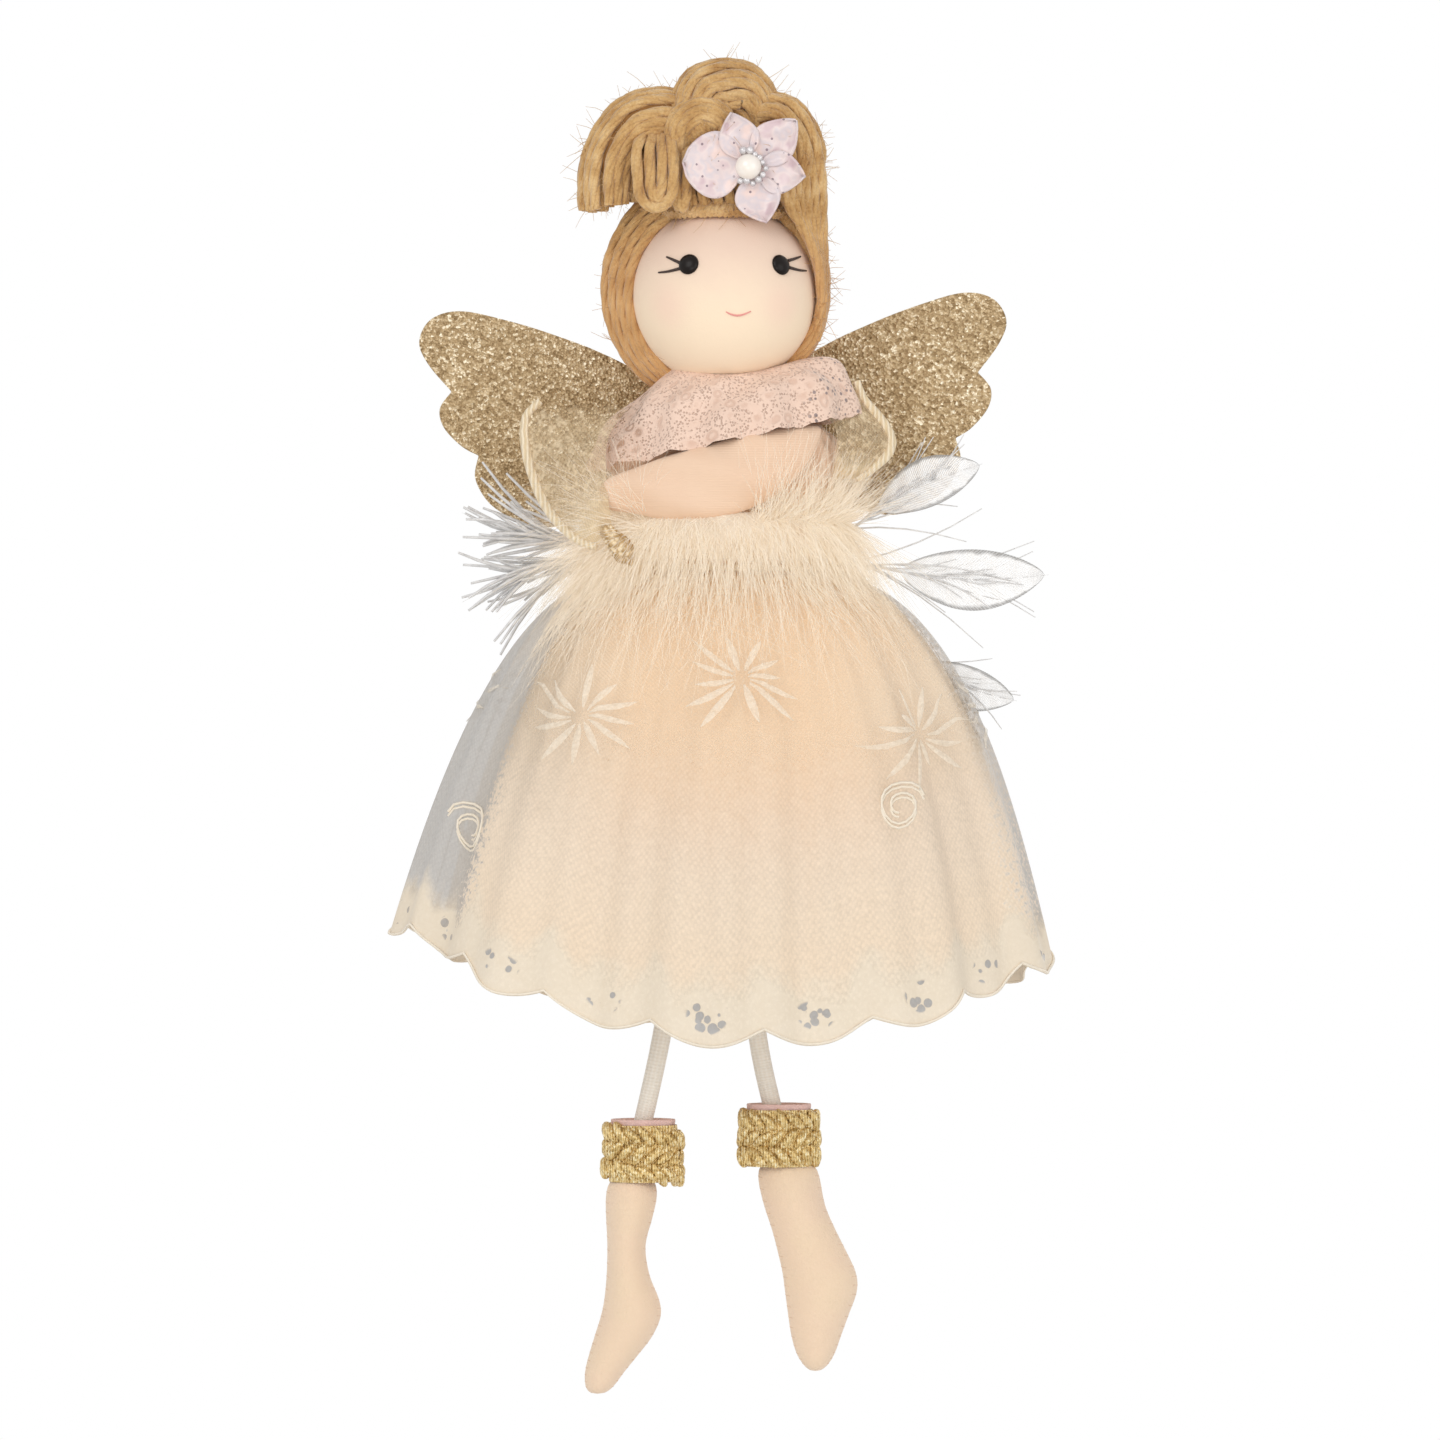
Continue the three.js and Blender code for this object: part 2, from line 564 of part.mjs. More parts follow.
// The outer skirt's filled shape with a clearance all round, for what lies against it
function skirtBody(grow) {
  const rows = Array.from({ length: SKIRT_LEVELS + 1 }, (_, level) => {
    const flare = level / SKIRT_LEVELS;
    const side = skirtPoint(OUTER_SKIRT, 0, flare, Math.PI / 2);
    const front = skirtPoint(OUTER_SKIRT, 0, flare, 0);
    return [side.x + 2 * FOLD_DEPTH * flare, -front.y + 2 * FOLD_DEPTH * flare, side.z];
  });
  return ovalBody(rows, 28, grow);
}

// Shoulder ruffles: a sheer flap on each side with a corded rim that follows an oval arc, and a lace
// patch at the end of the left one
const RUFFLES = [
  {
    side: 'left',
    x: -1.086 * CHEST_HALF_WIDTH,
    z: TORSO_TOP - LEFT_RUFFLE_DROP,
    halfWidth: LEFT_RUFFLE_HALF_WIDTH,
    halfHeight: LEFT_RUFFLE_HALF_HEIGHT,
    from: 155,
    to: 262,
  },
  {
    side: 'right',
    x: 0.971 * CHEST_HALF_WIDTH,
    z: TORSO_TOP - RIGHT_RUFFLE_DROP,
    halfWidth: RIGHT_RUFFLE_HALF_WIDTH,
    halfHeight: RIGHT_RUFFLE_HALF_HEIGHT,
    from: 48,
    to: -58,
  },
];

// How far forward a ruffle comes as it falls
function ruffleDepth(z) {
  const fallen = Math.max(0, TORSO_TOP - z) / (TORSO_TOP - BAND_TOP + BAND_HEIGHT);
  return -RIM_LEAN * fallen ** 2;
}

function rimPoint(ruffle, along, inset) {
  const angle = THREE.MathUtils.degToRad(THREE.MathUtils.lerp(ruffle.from, ruffle.to, along));
  const z = ruffle.z + (ruffle.halfHeight - inset) * Math.sin(angle);
  return new THREE.Vector3(ruffle.x + (ruffle.halfWidth - inset) * Math.cos(angle), ruffleDepth(z), z);
}

function makeRuffles() {
  const RIM_STEPS = 16;
  const inset = RIM_CORD_RADIUS + CLEARANCE;
  const solids = [
    ovalBody(COLLAR_ROWS, 28, CLEARANCE),
    ovalBody(TORSO_ROWS.slice(2, 5).map(([width, depth, z]) => {
      return [width + CLEARANCE + CLOTH, depth + CLEARANCE + CLOTH, z];
    }), 28, CLEARANCE),
    ovalBody(BAND_ROWS, 28, CLEARANCE),
  ];
  for (const ruffle of RUFFLES) {
    const steps = Array.from({ length: RIM_STEPS + 1 }, (_, i) => i / RIM_STEPS);
    const rim = new THREE.CatmullRomCurve3(steps.map((along) => rimPoint(ruffle, along, 0)));
    add(`sleeve_rim_${ruffle.side}`, tube(rim, RIM_CORD_RADIUS, RIM_STEPS), 'cord');
    const edge = steps.map((along) => rimPoint(ruffle, along, inset));
    const outline = new THREE.Shape(edge.map((point) => new THREE.Vector2(point.x, point.z)));
    outline.lineTo(ruffle.x, ruffle.z);
    const flap = reshape(panel(outline, 0, CLOTH), (point) => {
      point.y += ruffleDepth(point.z) - CLOTH / 2;
      return point;
    });
    add(`sleeve_${ruffle.side}`, cut(flap, ...solids), 'sheer');
  }
  const end = rimPoint(RUFFLES[0], 1, 0);
  const patch = new THREE.SphereGeometry(CUFF_PATCH_RADIUS, 12, 8);
  patch.scale(1, 0.5, 1);
  const patchX = end.x + RIM_CORD_RADIUS + CUFF_PATCH_RADIUS + CLEARANCE;
  patch.translate(patchX, end.y - CUFF_PATCH_RADIUS / 2, end.z);
  add('sleeve_cuff_left', cut(closed(patch), ...solids), 'lace');
}

// Feathers: single plumes that stand out from the waist, each a thin leaf from root to tip
function makeFeathers() {
  // Name, side, then shares of the feather length: root out from the band and over its top, tip likewise,
  // half width
  const FEATHERS = [
    ['feather_left_upper', -1, [-0.25, -0.208], [0.729, 0], 0.1875],
    ['feather_left_lower', -1, [-0.25, -0.292], [0.729, -0.604], 0.1875],
    ['feather_right_upper', 1, [-0.25, -0.167], [0.708, 0.333], 0.167],
    ['feather_right_plume', 1, [-0.25, -0.292], [1.158, -0.417], 0.208],
    ['feather_right_lower', 1, [-0.042, -0.833], [0.942, -1.271], 0.15],
  ];
  const place = (side, [out, rise]) => {
    const x = side * (BAND_HALF_WIDTH + out * FEATHER_LENGTH);
    return new THREE.Vector2(x, BAND_TOP + rise * FEATHER_LENGTH);
  };
  const keepClear = [skirtBody(CLEARANCE), ovalBody(BAND_ROWS, 28, CLEARANCE)];
  FEATHERS.forEach(([name, side, root, tip, wide], i) => {
    const from = place(side, root);
    const to = place(side, tip);
    const across = new THREE.Vector2(from.y - to.y, to.x - from.x).setLength(2 * wide * FEATHER_LENGTH);
    const middle = from.clone().lerp(to, 0.55);
    const leaf = new THREE.Shape();
    leaf.moveTo(from.x, from.y);
    leaf.quadraticCurveTo(middle.x + across.x, middle.y + across.y, to.x, to.y);
    leaf.quadraticCurveTo(middle.x - across.x, middle.y - across.y, from.x, from.y);
    const front = FEATHER_BACK + i * (FEATHER_THICKNESS + CLEARANCE);
    add(name, cut(panel(leaf, front, FEATHER_THICKNESS, 8), ...keepClear), 'feather');
  });
}

// Wings: one flat glitter panel cut as a pair of wings with three round lobes a side
function makeWings() {
  // All of the outline in shares of the half span: out from the middle, and over the tips' level
  const CENTRE_TOP = -0.375;
  const CENTRE_BOTTOM = -0.667;
  const CENTRE_HALF_WIDTH = 0.292;
  const LOBES = [
    [
      [0.344, -0.179], [0.542, -0.092], [0.708, -0.035], [0.858, 0],
      [0.958, -0.025], [1, -0.1], [0.971, -0.179], [0.896, -0.273],
    ],
    [[0.938, -0.329], [0.927, -0.394], [0.869, -0.46], [0.812, -0.494]],
    [[0.827, -0.567], [0.792, -0.644], [0.733, -0.696], [0.646, -0.737], [0.542, -0.742]],
  ];
  const place = ([x, z]) => new THREE.Vector2(x, z).multiplyScalar(WING_HALF_SPAN);
  const bottom = place([0, CENTRE_BOTTOM]);
  const shape = new THREE.Shape();
  shape.moveTo(0, CENTRE_TOP * WING_HALF_SPAN);
  LOBES.forEach((points, i) => {
    const placed = points.map(place);
    if (i === 0) shape.lineTo(placed[0].x, placed[0].y);
    shape.splineThru(i === 0 ? placed.slice(1) : placed);
  });
  shape.quadraticCurveTo(CENTRE_HALF_WIDTH * WING_HALF_SPAN, bottom.y, bottom.x, bottom.y);
  const right = shape.getPoints(3);
  const left = right.slice(1, -1).reverse().map((point) => new THREE.Vector2(-point.x, point.y));
  const wings = panel(new THREE.Shape([...right, ...left]), WING_FRONT + WING_THICKNESS, WING_THICKNESS);
  const mesh = add('wing_panel', wings, 'glitter');
  mesh.position.set(WING_SHIFT, 0, TORSO_TOP + WING_RISE);
  mesh.rotation.y = WING_TILT;
}

// Legs: a limp cord from the hips to each boot. The cords' points are shares of the leg length, sideways
// and down from the hip, and the cuff's middle is a share of its half width beside the cord's end
const LEGS = [
  {
    side: 'left',
    hip: -LEFT_HIP_OUT,
    length: LEFT_LEG_LENGTH,
    sway: [[0, 0], [-0.011, 0.2262], [-0.0359, 0.5021], [-0.0814, 0.8055], [-0.1228, 1]],
    cuff: -0.029,
  },
  {
    side: 'right',
    hip: RIGHT_HIP_OUT,
    length: RIGHT_LEG_LENGTH,
    sway: [[0, 0], [0.0014, 0.2343], [0.0086, 0.52], [0.0329, 0.8343], [0.0657, 1]],
    cuff: 0.188,
  },
];

// Boot outlines below the cuff, from its middle: left edge and right edge as shares of the boot width,
// half depth as a share of its own, and drop as a share of the boot length
const BOOT_ROWS = {
  left: [
    [-0.622, 0.278, 1, 0],
    [-0.622, 0.2, 1, 0.1382],
    [-0.6, 0.056, 0.864, 0.2853],
    [-0.622, 0.133, 0.909, 0.4206],
    [-0.667, 0.322, 1, 0.5441],
    [-0.733, 0.333, 1, 0.6206],
    [-0.844, 0.2, 0.909, 0.7088],
    [-0.967, -0.067, 0.795, 0.7971],
    [-1.044, -0.322, 0.659, 0.8853],
    [-1.033, -0.544, 0.477, 0.9559],
    [-0.944, -0.733, 0.227, 0.9912],
  ],
  right: [
    [-0.411, 0.733, 1, 0],
    [-0.278, 0.811, 1, 0.1382],
    [-0.122, 1.022, 0.886, 0.2853],
    [-0.022, 1.211, 0.932, 0.3853],
    [0.067, 1.411, 1, 0.4971],
    [0.111, 1.4, 1, 0.5735],
    [0.167, 1.244, 0.909, 0.6882],
    [0.211, 1.111, 0.795, 0.7853],
    [0.311, 0.989, 0.659, 0.8735],
    [0.456, 0.867, 0.477, 0.9265],
    [0.578, 0.733, 0.227, 0.9529],
  ],
};

function makeLegs() {
  for (const { side, hip, length, sway, cuff } of LEGS) {
    const points = sway.map(([x, drop]) => new THREE.Vector3(hip + x * length, 0, HIP_Z - drop * length));
    const path = new THREE.CatmullRomCurve3(points);
    add(`leg_cord_${side}`, tube(path, CORD_RADIUS, Math.round(path.getLength() / CORD_STEP)), 'cord');

    const ankle = points[points.length - 1];
    const bulging = [0, 0.25, 0.5, 0.75, 1].map((share) => {
      const hollow = CUFF_BULGE * (1 - Math.sin(Math.PI * share));
      return [CUFF_HALF_WIDTH - hollow, CUFF_HALF_DEPTH - hollow, -CUFF_HEIGHT * share];
    });
    const cuffMesh = add(`boot_cuff_${side}`, wall(4, 20, (inside, level, angle) => {
      const [halfWidth, halfDepth, z] = bulging[level];
      if (!inside) return onOval(halfWidth, halfDepth, angle, z);
      return onOval(CUFF_HALF_WIDTH - CUFF_WALL, CUFF_HALF_DEPTH - CUFF_WALL, angle, z);
    }), 'tinsel');
    cuffMesh.position.set(ankle.x + cuff * CUFF_HALF_WIDTH, 0, ankle.z - BOOT_PLAY);

    const plug = CUFF_WALL + CLEARANCE;
    const lining = ovalBody([0, -CUFF_HEIGHT].map((z) => {
      return [CUFF_HALF_WIDTH - plug, CUFF_HALF_DEPTH - plug, z];
    }), 20);
    add(`boot_lining_${side}`, lining, 'lining').position.copy(cuffMesh.position);

    const shaftTop = -CUFF_HEIGHT - CLEARANCE;
    const stuffed = ovalBody(BOOT_ROWS[side].map(([left, right, depth, drop]) => [
      BOOT_WIDTH * (right - left) / 2,
      BOOT_HALF_DEPTH * depth,
      shaftTop - BOOT_LENGTH * drop,
      BOOT_WIDTH * (left + right) / 2,
    ]), 20);
    add(`boot_${side}`, stuffed, 'felt').position.copy(cuffMesh.position);
  }
}

const pegHole = makeHead();
makeEyes();
makeHair();
makeFlower();
makeTorso(pegHole);
makeCollar();
makeWaist();
makeSkirts();
makeRuffles();
makeFeathers();
makeWings();
makeLegs();

export default group;
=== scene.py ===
# Lace angel ornament: a hanging doll with a cloth ball head, yarn hair, glitter wings, a sheer lace
# skirt over a lining, and limp cord legs with stuffed boots. Metres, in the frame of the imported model.
import math
import random

import bpy
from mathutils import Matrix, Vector


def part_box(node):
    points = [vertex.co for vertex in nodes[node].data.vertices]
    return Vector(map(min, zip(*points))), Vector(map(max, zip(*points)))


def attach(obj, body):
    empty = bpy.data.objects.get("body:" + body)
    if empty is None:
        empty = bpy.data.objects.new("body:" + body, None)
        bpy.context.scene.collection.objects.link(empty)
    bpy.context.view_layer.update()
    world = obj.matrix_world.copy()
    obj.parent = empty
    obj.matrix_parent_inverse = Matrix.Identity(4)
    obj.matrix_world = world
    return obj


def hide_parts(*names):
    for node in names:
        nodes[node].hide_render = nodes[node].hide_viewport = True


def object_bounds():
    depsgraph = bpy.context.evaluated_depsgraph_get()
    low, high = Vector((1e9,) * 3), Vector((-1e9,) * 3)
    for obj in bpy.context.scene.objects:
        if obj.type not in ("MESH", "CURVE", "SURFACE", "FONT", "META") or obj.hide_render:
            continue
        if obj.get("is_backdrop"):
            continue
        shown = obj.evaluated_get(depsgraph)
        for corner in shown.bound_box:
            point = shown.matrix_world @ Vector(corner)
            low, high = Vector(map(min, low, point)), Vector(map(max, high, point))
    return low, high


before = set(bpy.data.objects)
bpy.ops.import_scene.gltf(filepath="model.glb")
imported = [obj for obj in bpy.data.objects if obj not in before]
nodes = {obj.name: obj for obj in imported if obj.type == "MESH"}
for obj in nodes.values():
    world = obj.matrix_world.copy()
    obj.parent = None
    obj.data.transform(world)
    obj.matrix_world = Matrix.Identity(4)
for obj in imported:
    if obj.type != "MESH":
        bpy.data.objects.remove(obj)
cad_low, cad_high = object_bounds()

# Setting: the doll hangs in a white studio over a pale floor, seen straight from the front through a
# long lens, with one large soft lamp from the upper left and weaker ones from the right, below and
# behind.
FRAME_MIDDLE = Vector((-0.00065, 0, -0.1069))
CAMERA_DISTANCE = 1.296
LENS = 200
FLOOR_DROP = 0.045
AMBIENT = 0.62


class Wire:
    """A shader value: arithmetic on it adds Math nodes, and node() adds any other node."""

    def __init__(self, tree, socket=None):
        self.tree = tree
        self.socket = socket

    def node(self, kind, inputs=None, output=0, stops=(), **settings):
        made = self.tree.nodes.new("ShaderNode" + kind)
        for name, value in settings.items():
            setattr(made, name, value)
        if stops:
            ramp = made.color_ramp.elements
            while len(ramp) < len(stops):
                ramp.new(0.5)
            for stop, (position, colour) in zip(ramp, stops):
                stop.position = position
                stop.color = colour
        for name, value in (inputs or {}).items():
            self.join(made.inputs[name], value)
        return Wire(self.tree, made.outputs[output])

    def join(self, socket, value):
        if isinstance(value, Wire):
            self.tree.links.new(value.socket, socket)
        else:
            socket.default_value = value

    def math(self, operation, first, second=0.0):
        return self.node("Math", {0: first, 1: second}, operation=operation)

    def __add__(self, other):
        return self.math("ADD", self, other)

    def __radd__(self, other):
        return self.math("ADD", other, self)

    def __sub__(self, other):
        return self.math("SUBTRACT", self, other)

    def __rsub__(self, other):
        return self.math("SUBTRACT", other, self)

    def __mul__(self, other):
        return self.math("MULTIPLY", self, other)

    def __rmul__(self, other):
        return self.math("MULTIPLY", other, self)

    def __truediv__(self, other):
        return self.math("DIVIDE", self, other)


bpy.ops.object.select_all(action="DESELECT")
bpy.ops.object.camera_add(
    location=FRAME_MIDDLE - Vector((0, CAMERA_DISTANCE, 0)), rotation=(math.radians(90), 0, 0)
)
camera = bpy.context.object
camera.data.lens = LENS
bpy.context.scene.camera = camera
bpy.context.scene.view_settings.view_transform = "Standard"

world = bpy.data.worlds.new("white studio")
world.use_nodes = True
bpy.context.scene.world = world
sky = Wire(world.node_tree)
seen = sky.node("LightPath", output="Is Camera Ray") + sky.node("LightPath", output="Is Glossy Ray")
seen = seen + sky.node("LightPath", output="Is Transmission Ray")
shown = sky.math("MINIMUM", seen, 1)
backdrop = world.node_tree.nodes["Background"]
backdrop.inputs["Color"].default_value = (1, 1, 1, 1)
sky.join(backdrop.inputs["Strength"], AMBIENT + shown * (1 - AMBIENT))

for name, spot, size, watts in [
    ("key lamp", (-0.55, -0.95, 0.45), 0.7, 3.9),
    ("fill lamp", (0.8, -0.8, 0.0), 0.8, 2.5),
    ("low lamp", (0.0, -1.1, -0.5), 0.7, 4.0),
    ("back lamp", (0.3, 0.9, 0.5), 0.6, 4),
]:
    lamp = bpy.data.lights.new(name, "AREA")
    lamp.size = size
    lamp.energy = watts
    stand = bpy.data.objects.new(name, lamp)
    stand.location = spot
    stand.rotation_euler = (FRAME_MIDDLE - Vector(spot)).to_track_quat("-Z", "Y").to_euler()
    bpy.context.collection.objects.link(stand)


def paint(red, green, blue):
    """A colour as it is seen, 0 to 255, as the linear values that shaders take."""
    parts = [part / 255 for part in (red, green, blue)]
    return (*[p / 12.92 if p < 0.04045 else ((p + 0.055) / 1.055) ** 2.4 for p in parts], 1)


def new_finish(name, **plain):
    """A material with the shader's plain sockets set, and the wire of the place on its piece."""
    material = bpy.data.materials.new(name)
    material.use_nodes = True
    shader = material.node_tree.nodes["Principled BSDF"]
    for socket, value in plain.items():
        shader.inputs[socket.replace("_", " ")].default_value = value
    return material, Wire(material.node_tree).node("TexCoord", output="Object")


def feed(material, **patterns):
    """Links a material's patterns to its shader."""
    shader = material.node_tree.nodes["Principled BSDF"]
    for socket, wire in patterns.items():
        material.node_tree.links.new(wire.socket, shader.inputs[socket.replace("_", " ")])


def between(share, low, high):
    """A colour that goes from low to high by a share."""
    inputs = {"Factor": share, 6: low, 7: high}
    return share.node("Mix", inputs, output=2, data_type="RGBA")


bpy.ops.mesh.primitive_plane_add(size=1, location=(0, -0.1, cad_low.z - FLOOR_DROP))
bpy.ops.object.transform_apply(location=True)
floor = bpy.context.object
floor.name = "floor"
floor_finish, place = new_finish("pale floor", Roughness=0.9)
grain = place.node("TexNoise", {"Scale": 40.0, "Detail": 4.0})
feed(floor_finish, Base_Color=between(grain, paint(236, 234, 231), paint(244, 243, 241)))
floor.data.materials.append(floor_finish)
floor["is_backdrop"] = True

# Torso: a stuffed cotton body that carries the clothes, on a wooden peg that goes up into the ball of
# the head. It swells at the chest, tapers to the hips and shows only from below.
TORSO_ROWS = [  # half width, half depth, height
    (0.005, 0.005, -0.055),
    (0.013, 0.007, -0.058),
    (0.0165, 0.008, -0.061),
    (0.0175, 0.008, -0.066),
    (0.014, 0.008, -0.073),
    (0.014, 0.008, -0.0835),
    (0.010, 0.007, -0.098),
]


def smooth_at(rows, share):
    """The values at a share of the way along rows of numbers, on a smooth curve through them."""
    spot = max(0.0, min(1.0, share)) * (len(rows) - 1)
    first = min(int(spot), len(rows) - 2)
    rest = spot - first
    a, b, c, d = (rows[max(0, min(len(rows) - 1, first + k))] for k in (-1, 0, 1, 2))
    values = []
    for p, q, r, s in zip(a, b, c, d):
        second = (2 * p - 5 * q + 4 * r - s) * rest**2
        third = (3 * q - p - 3 * r + s) * rest**3
        values.append(0.5 * (2 * q + (r - p) * rest + second + third))
    return values


def stuffed(name, segments, rings, skin):
    """A ball reshaped so that its point at a turn and a share from end to end lies where skin says."""
    bpy.ops.object.select_all(action="DESELECT")
    bpy.ops.mesh.primitive_uv_sphere_add(segments=segments, ring_count=rings, radius=1)
    piece = bpy.context.object
    piece.name = name
    for vertex in piece.data.vertices:
        share = math.acos(max(-1.0, min(1.0, vertex.co.z))) / math.pi
        vertex.co = skin(math.atan2(vertex.co.y, vertex.co.x), share)
    bpy.ops.object.mode_set(mode="EDIT")
    bpy.ops.mesh.select_all(action="SELECT")
    bpy.ops.mesh.normals_make_consistent(inside=False)
    bpy.ops.object.mode_set(mode="OBJECT")
    bpy.ops.object.shade_smooth()
    return piece


def blunt(share, sharpness):
    """How full a stuffed form is at a share of its length: rounded ends, full between them."""
    return math.sqrt(max(0.0, 1 - abs(2 * share - 1) ** sharpness))


def oval(turn, half_width, half_depth, z):
    """The point at a turn on an oval ring round the z axis."""
    return Vector((half_width * math.cos(turn), half_depth * math.sin(turn), z))


def speckle(place, scale, detail=2.0):
    """An even noise on a piece, from 0 to 1."""
    return place.node("TexNoise", {"Vector": place, "Scale": scale, "Detail": detail})


def relief(height, depth, strength):
    """A normal for a surface whose height goes from 0 to 1 over a depth."""
    return height.node("Bump", {"Height": height, "Distance": depth, "Strength": strength})


def mottled(name, scale, dark, light, detail=2.0, bumps=None, **plain):
    """A finish of two colours mixed by an even noise, with bumps of a depth and strength if asked."""
    finish, place = new_finish(name, **plain)
    noise = speckle(place, scale, detail)
    feed(finish, Base_Color=between(noise, paint(*dark), paint(*light)))
    if bumps:
        feed(finish, Normal=relief(noise, *bumps))
    return finish


def torso_skin(turn, share):
    half_width, half_depth, z = smooth_at(TORSO_ROWS, share)
    full = blunt(share, 12)
    return oval(turn, half_width * full, half_depth * full, z)


torso = stuffed("stuffed_torso", 40, 30, torso_skin)
cotton = mottled(
    "peach cotton", 1800.0, (226, 194, 164), (238, 208, 178), 3.0, (0.0002, 0.5), Roughness=0.85,
    Sheen_Weight=0.15,
)
torso.data.materials.append(cotton)
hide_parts("torso_core")
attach(torso, "doll")

# Neck peg and ball core: turned wood, held inside the torso and under the cloth of the head.
# They are right as the solids are, so they only get their grain.
wood, place = new_finish("turned wood", Roughness=0.6)
stretched = place.node("Mapping", {"Vector": place, "Scale": (900.0, 900.0, 120.0)})
grain = speckle(stretched, 1.0, 4.0)
feed(
    wood,
    Base_Color=between(grain, paint(190, 152, 106), paint(224, 196, 154)),
    Normal=relief(grain, 0.0001, 0.4),
)
for name in ("neck_peg", "head_core"):
    nodes[name].data.materials.clear()
    nodes[name].data.materials.append(wood)

# Legs: two limp tubes of cream cotton cord, sewn to the hips and into the boots. Each hangs in a slack
# curve and swings with its own body.
LEG_RADIUS = 0.0015
LEG_STEPS = 40
PLAITS = 6
LEG_ROUTES = {  # x and z from hip to boot
    "left": [
        (-0.004, -0.0986), (-0.0048, -0.115), (-0.0066, -0.135), (-0.0099, -0.157), (-0.0133, -0.1728),
    ],
    "right": [
        (0.003, -0.0986), (0.0031, -0.115), (0.0036, -0.135), (0.0053, -0.157), (0.0080, -0.1703),
    ],
}


def cloth(name, across, down, skin, closed=False):
    """A sheet whose point at u across and v down lies where skin says, closed at its sides if asked."""
    bpy.ops.object.select_all(action="DESELECT")
    bpy.ops.mesh.primitive_grid_add(x_subdivisions=across, y_subdivisions=down, size=2)
    piece = bpy.context.object
    piece.name = name
    for vertex in piece.data.vertices:
        vertex.co = skin((vertex.co.x + 1) / 2, (1 - vertex.co.y) / 2)
    if closed:
        bpy.ops.object.mode_set(mode="EDIT")
        bpy.ops.mesh.select_all(action="SELECT")
        bpy.ops.mesh.remove_doubles(threshold=1e-6)
        bpy.ops.mesh.normals_make_consistent(inside=False)
        bpy.ops.object.mode_set(mode="OBJECT")
    bpy.ops.object.shade_smooth()
    return piece


def tube(name, line, radius, sides=12):
    """A round cloth tube along a line of points."""

    def skin(u, v):
        spot = min(len(line) - 1, round(v * (len(line) - 1)))
        along = (line[min(spot + 1, len(line) - 1)] - line[max(spot - 1, 0)]).normalized()
        across = along.cross(Vector((0, 1, 0))).normalized()
        turn = u * 2 * math.pi
        return line[spot] + radius * (math.cos(turn) * across + math.sin(turn) * across.cross(along))

    return cloth(name, sides, len(line) - 1, skin, closed=True)


def axis(place, letter):
    """One coordinate of a place."""
    return place.node("SeparateXYZ", {"Vector": place}, output=letter)


cord_finish, place = new_finish("cream cotton cord", Roughness=0.8, Sheen_Weight=0.2)
uv = place.node("UVMap")
round_share = axis(uv, "X")
along = axis(uv, "Y")
fine = speckle(place, 2500.0)
plait = place.math("SINE", round_share * (PLAITS * 2 * math.pi) + along * 420.0)
cross_plait = place.math("SINE", round_share * (PLAITS * 2 * math.pi) - along * 420.0)
weave = (plait * cross_plait) * 0.35 + 0.5 + (fine - 0.5) * 0.4
feed(
    cord_finish,
    Base_Color=between(weave, paint(241, 232, 217), paint(253, 248, 239)),
    Normal=relief(weave, 0.00018, 0.5),
)
for side, route in LEG_ROUTES.items():
    line = [Vector((x, 0, z)) for x, z in (smooth_at(route, k / LEG_STEPS) for k in range(LEG_STEPS + 1))]
    leg = tube(f"leg_cord_{side}_cotton", line, LEG_RADIUS)
    leg.data.materials.append(cord_finish)
    length = sum((b - a).length for a, b in zip(line, line[1:]))
    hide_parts(f"leg_cord_{side}")
    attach(leg, f"{side}_leg")

# Boots: two soft stuffed feet of peach felt. Front and back are cut to one outline, whipped together
# round the edge and filled, so each is fullest along its middle. They swing with their own bodies.
BOOT_HALF_DEPTH = 0.0044
SEAM_PINCH = 1.35
STITCH_SPACING = 0.0016
STITCH_RADIUS = 0.00009
STITCH_SINK = 0.3
BOOT_OUTLINES = {  # left and right edge from the cuff's middle, share of the depth, drop below its top
    "left": [
        (-0.0060, 0.0026, 1.00, 0.0085),
        (-0.0061, 0.0023, 1.00, 0.0120),
        (-0.0060, 0.0015, 1.00, 0.0155),
        (-0.0058, 0.0004, 0.90, 0.0200),
        (-0.0059, 0.0010, 0.92, 0.0246),
        (-0.0063, 0.0026, 1.00, 0.0288),
        (-0.0069, 0.0028, 1.00, 0.0316),
        (-0.0079, 0.0014, 0.91, 0.0348),
        (-0.0088, -0.0009, 0.80, 0.0378),
        (-0.0094, -0.0030, 0.68, 0.0404),
        (-0.0094, -0.0046, 0.56, 0.0426),
        (-0.0090, -0.0058, 0.42, 0.0440),
    ],
    "right": [
        (-0.0040, 0.0066, 1.00, 0.0085),
        (-0.0034, 0.0068, 1.00, 0.0120),
        (-0.0024, 0.0075, 1.00, 0.0160),
        (-0.0011, 0.0092, 0.90, 0.0200),
        (-0.0002, 0.0109, 0.93, 0.0234),
        (0.0006, 0.0125, 1.00, 0.0270),
        (0.0010, 0.0126, 1.00, 0.0300),
        (0.0015, 0.0113, 0.91, 0.0337),
        (0.0020, 0.0101, 0.80, 0.0370),
        (0.0028, 0.0091, 0.68, 0.0398),
        (0.0038, 0.0081, 0.56, 0.0416),
        (0.0047, 0.0071, 0.42, 0.0428),
    ],
}


def pick(piece):
    """Makes a piece the only one selected, for the next operator."""
    bpy.ops.object.select_all(action="DESELECT")
    piece.select_set(True)
    bpy.context.view_layer.objects.active = piece


